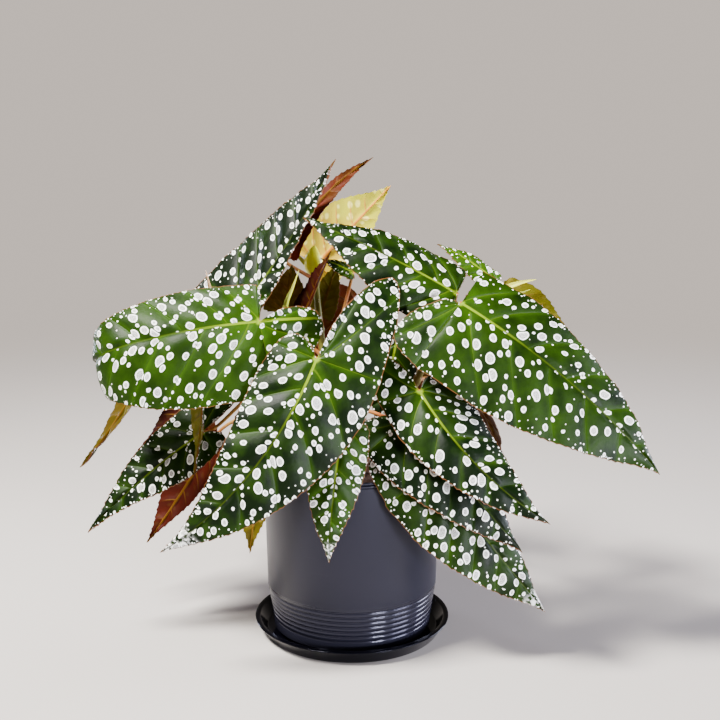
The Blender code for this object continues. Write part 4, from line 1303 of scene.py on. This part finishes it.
def soil_mound():
    """Rings from the middle out, then down the side and in underneath."""
    angle = np.arange(SOIL_SPOKES) * math.tau / SOIL_SPOKES
    radius = np.concatenate([np.linspace(0, SOIL_RADIUS, SOIL_RINGS),
                             [SOIL_RADIUS, 0.0]])[:, None]
    x, y = radius * np.cos(angle), radius * np.sin(angle)
    z = soil_height(x, y)
    z[-2:] = SOIL_FLOOR
    return np.stack([x, y, z], -1).reshape(-1, 3), grid_faces(len(radius), SOIL_SPOKES, closed=True)


print("mound points:", len(soil_mound()[0]))

# %% [markdown]
# Clods and fibres are gathered in one mesh with the mound, since they are
# all one handful of soil.

# %% Clods and fibres
CLODS = 520
CLOD_LEAST = 0.7
CLOD_MORE = 1.6
CLOD_MARGIN = 3 * MM
CLOD_ROWS = 6
CLOD_SIDES = 7
FIBRES = 160
FIBRE_HALF = (2.5, 6.0)
FIBRE_RADIUS = 0.22 * MM
FIBRE_MARGIN = 10 * MM
draw = np.random.default_rng(11)


def clod(centre, size):
    """A ball of a few points with an uneven radius."""
    up = np.linspace(0, np.pi, CLOD_ROWS)[:, None]
    round_ = np.arange(CLOD_SIDES)[None, :] * math.tau / CLOD_SIDES
    bump = 1 + 0.45 * draw.standard_normal((CLOD_ROWS, CLOD_SIDES)).clip(-1, 1) * np.sin(up)
    ball = np.stack([np.sin(up) * np.cos(round_) * bump, np.sin(up) * np.sin(round_) * bump,
                     0.7 * np.cos(up) * np.ones_like(round_)], -1)
    return ball.reshape(-1, 3) * size + centre, grid_faces(CLOD_ROWS, CLOD_SIDES, closed=True)


def scatter(count, reach):
    """Places on the soil, even over its area."""
    r = reach * np.sqrt(draw.random(count))
    a = draw.random(count) * math.tau
    return np.stack([r * np.cos(a), r * np.sin(a), soil_height(r * np.cos(a), r * np.sin(a))], -1)


def soil_with_clods():
    """All parts of the soil as one list of points and faces."""
    parts = [soil_mound()]
    for place in scatter(CLODS, SOIL_RADIUS - CLOD_MARGIN):
        parts.append(clod(place, (CLOD_LEAST + CLOD_MORE * draw.random() ** 2) * MM))
    for place in scatter(FIBRES, SOIL_RADIUS - FIBRE_MARGIN):
        way = draw.standard_normal(3) * (1, 1, 0.25)
        way *= draw.uniform(*FIBRE_HALF) * MM / np.linalg.norm(way)
        sag = draw.standard_normal(3) * 0.8 * MM
        line = np.array([place - way, place + sag + (0, 0, 0.6 * MM), place + way])
        line[:, 2] += 0.4 * MM
        parts.append(tube(catmull(line, np.linspace(0, 1, 5)), [FIBRE_RADIUS] * 5, 4))
    offset, all_points, all_faces = 0, [], []
    for part_points, part_faces in parts:
        all_points.append(part_points)
        all_faces += [np.asarray(face) + offset for face in part_faces]
        offset += len(part_points)
    return np.vstack(all_points), all_faces


soil = stands_for(put_mesh("peat", *soil_with_clods(), [SOIL]), "soil", "soil")
print("soil faces:", len(soil.data.polygons))

# %% [markdown]
# ## Floor and light
# The plant is shown on a plain pale floor.

# %% Floor
BACKDROP = (0.76, 0.67, 0.60)
BLACK = (0.0, 0.0, 0.0)


def floor_finish():
    """Pale warm grey, a little uneven. Far away it gives way to the
    backdrop's own light, so that no horizon shows."""
    finish = Finish("studio_floor", 0.6, 0.0)
    finish.shader.inputs["Emission Strength"].default_value = 1.0
    cloud = finish.noise(finish.place(), 3.0, 3.0)
    x, y, _ = finish.parts(finish.place())
    far = ((x * x + y * y) ** 0.5).rise(0.35, 1.5)
    colour = finish.mix(cloud, (0.43, 0.40, 0.375), (0.47, 0.44, 0.415))
    colour = finish.mix(far, colour, BLACK)
    glow = finish.mix(far, BLACK, BACKDROP)
    finish.put(finish.shader.inputs["Emission Color"], glow)
    return finish.done(colour, 0.55 + cloud * 0.1)


FLOOR_REACH = 40.0
CORNERS = np.array([(-1, -1, 0), (1, -1, 0), (1, 1, 0), (-1, 1, 0)])
floor = put_mesh("floor", CORNERS * FLOOR_REACH, [(0, 1, 2, 3)], [floor_finish()])
print("floor:", floor.name)

# %% [markdown]
# A pale world, brighter at the horizon than overhead, fills the shadows and is
# the backdrop. Each lamp is a rectangle that faces the plant. The one above
# casts the shadows; those on either side, well behind, draw pale lines down
# the pot's edges; the low ones shine in the grooves of the pot's foot.

# %% Lamps
LAMPS = (
    ("lamp_above", (-0.80, -0.50, 1.6), (0.40, 0.35), 158.0, (1.0, 0.97, 0.92)),
    ("lamp_left", (-1.8, 1.7, 0.40), (0.3, 0.8), 38.0, (0.76, 0.79, 1.0)),
    ("lamp_right", (2.2, 1.0, 0.40), (1.4, 0.8), 140.0, (0.80, 0.82, 1.0)),
    ("lamp_low_right", (2.2, -0.87, 0.22), (1.0, 0.4), 66.0, (0.80, 0.81, 1.0)),
    ("lamp_front", (1.05, -1.45, 0.24), (0.5, 0.16), 64.0, (0.90, 0.91, 1.0)),
)
AIM = np.array([0.0, 0.0, 0.22])
HORIZON_LIGHT = 1.0
OVERHEAD_LIGHT = 0.20


def add_lamp(name, place, size, power, colour):
    """An area lamp that looks at the middle of the plant."""
    data = bpy.data.lights.new(name, "AREA")
    data.shape = "RECTANGLE"
    data.size, data.size_y = size
    data.energy = power
    data.color = colour
    lamp = bpy.data.objects.new(name, data)
    lamp.location = place
    away = np.array(place) - AIM
    flat = math.hypot(away[0], away[1])
    lamp.rotation_euler = (math.atan2(flat, away[2]), 0.0, math.atan2(away[0], -away[1]))
    bpy.context.scene.collection.objects.link(lamp)
    return lamp


for lamp in LAMPS:
    add_lamp(*lamp)

world = bpy.data.worlds.new("studio")
bpy.context.scene.world = world
world.use_nodes = True
sky = Graph(world.node_tree)
_, _, up = sky.parts(sky.node("TexCoord"))
strength = sky.node("MapRange", None, {"Value": up, "From Min": 0.06, "From Max": 0.4,
                                       "To Min": HORIZON_LIGHT, "To Max": OVERHEAD_LIGHT})
backdrop = world.node_tree.nodes["Background"].inputs
backdrop["Color"].default_value = (*BACKDROP, 1.0)
sky.put(backdrop["Strength"], strength)
print("lamps:", len(LAMPS))
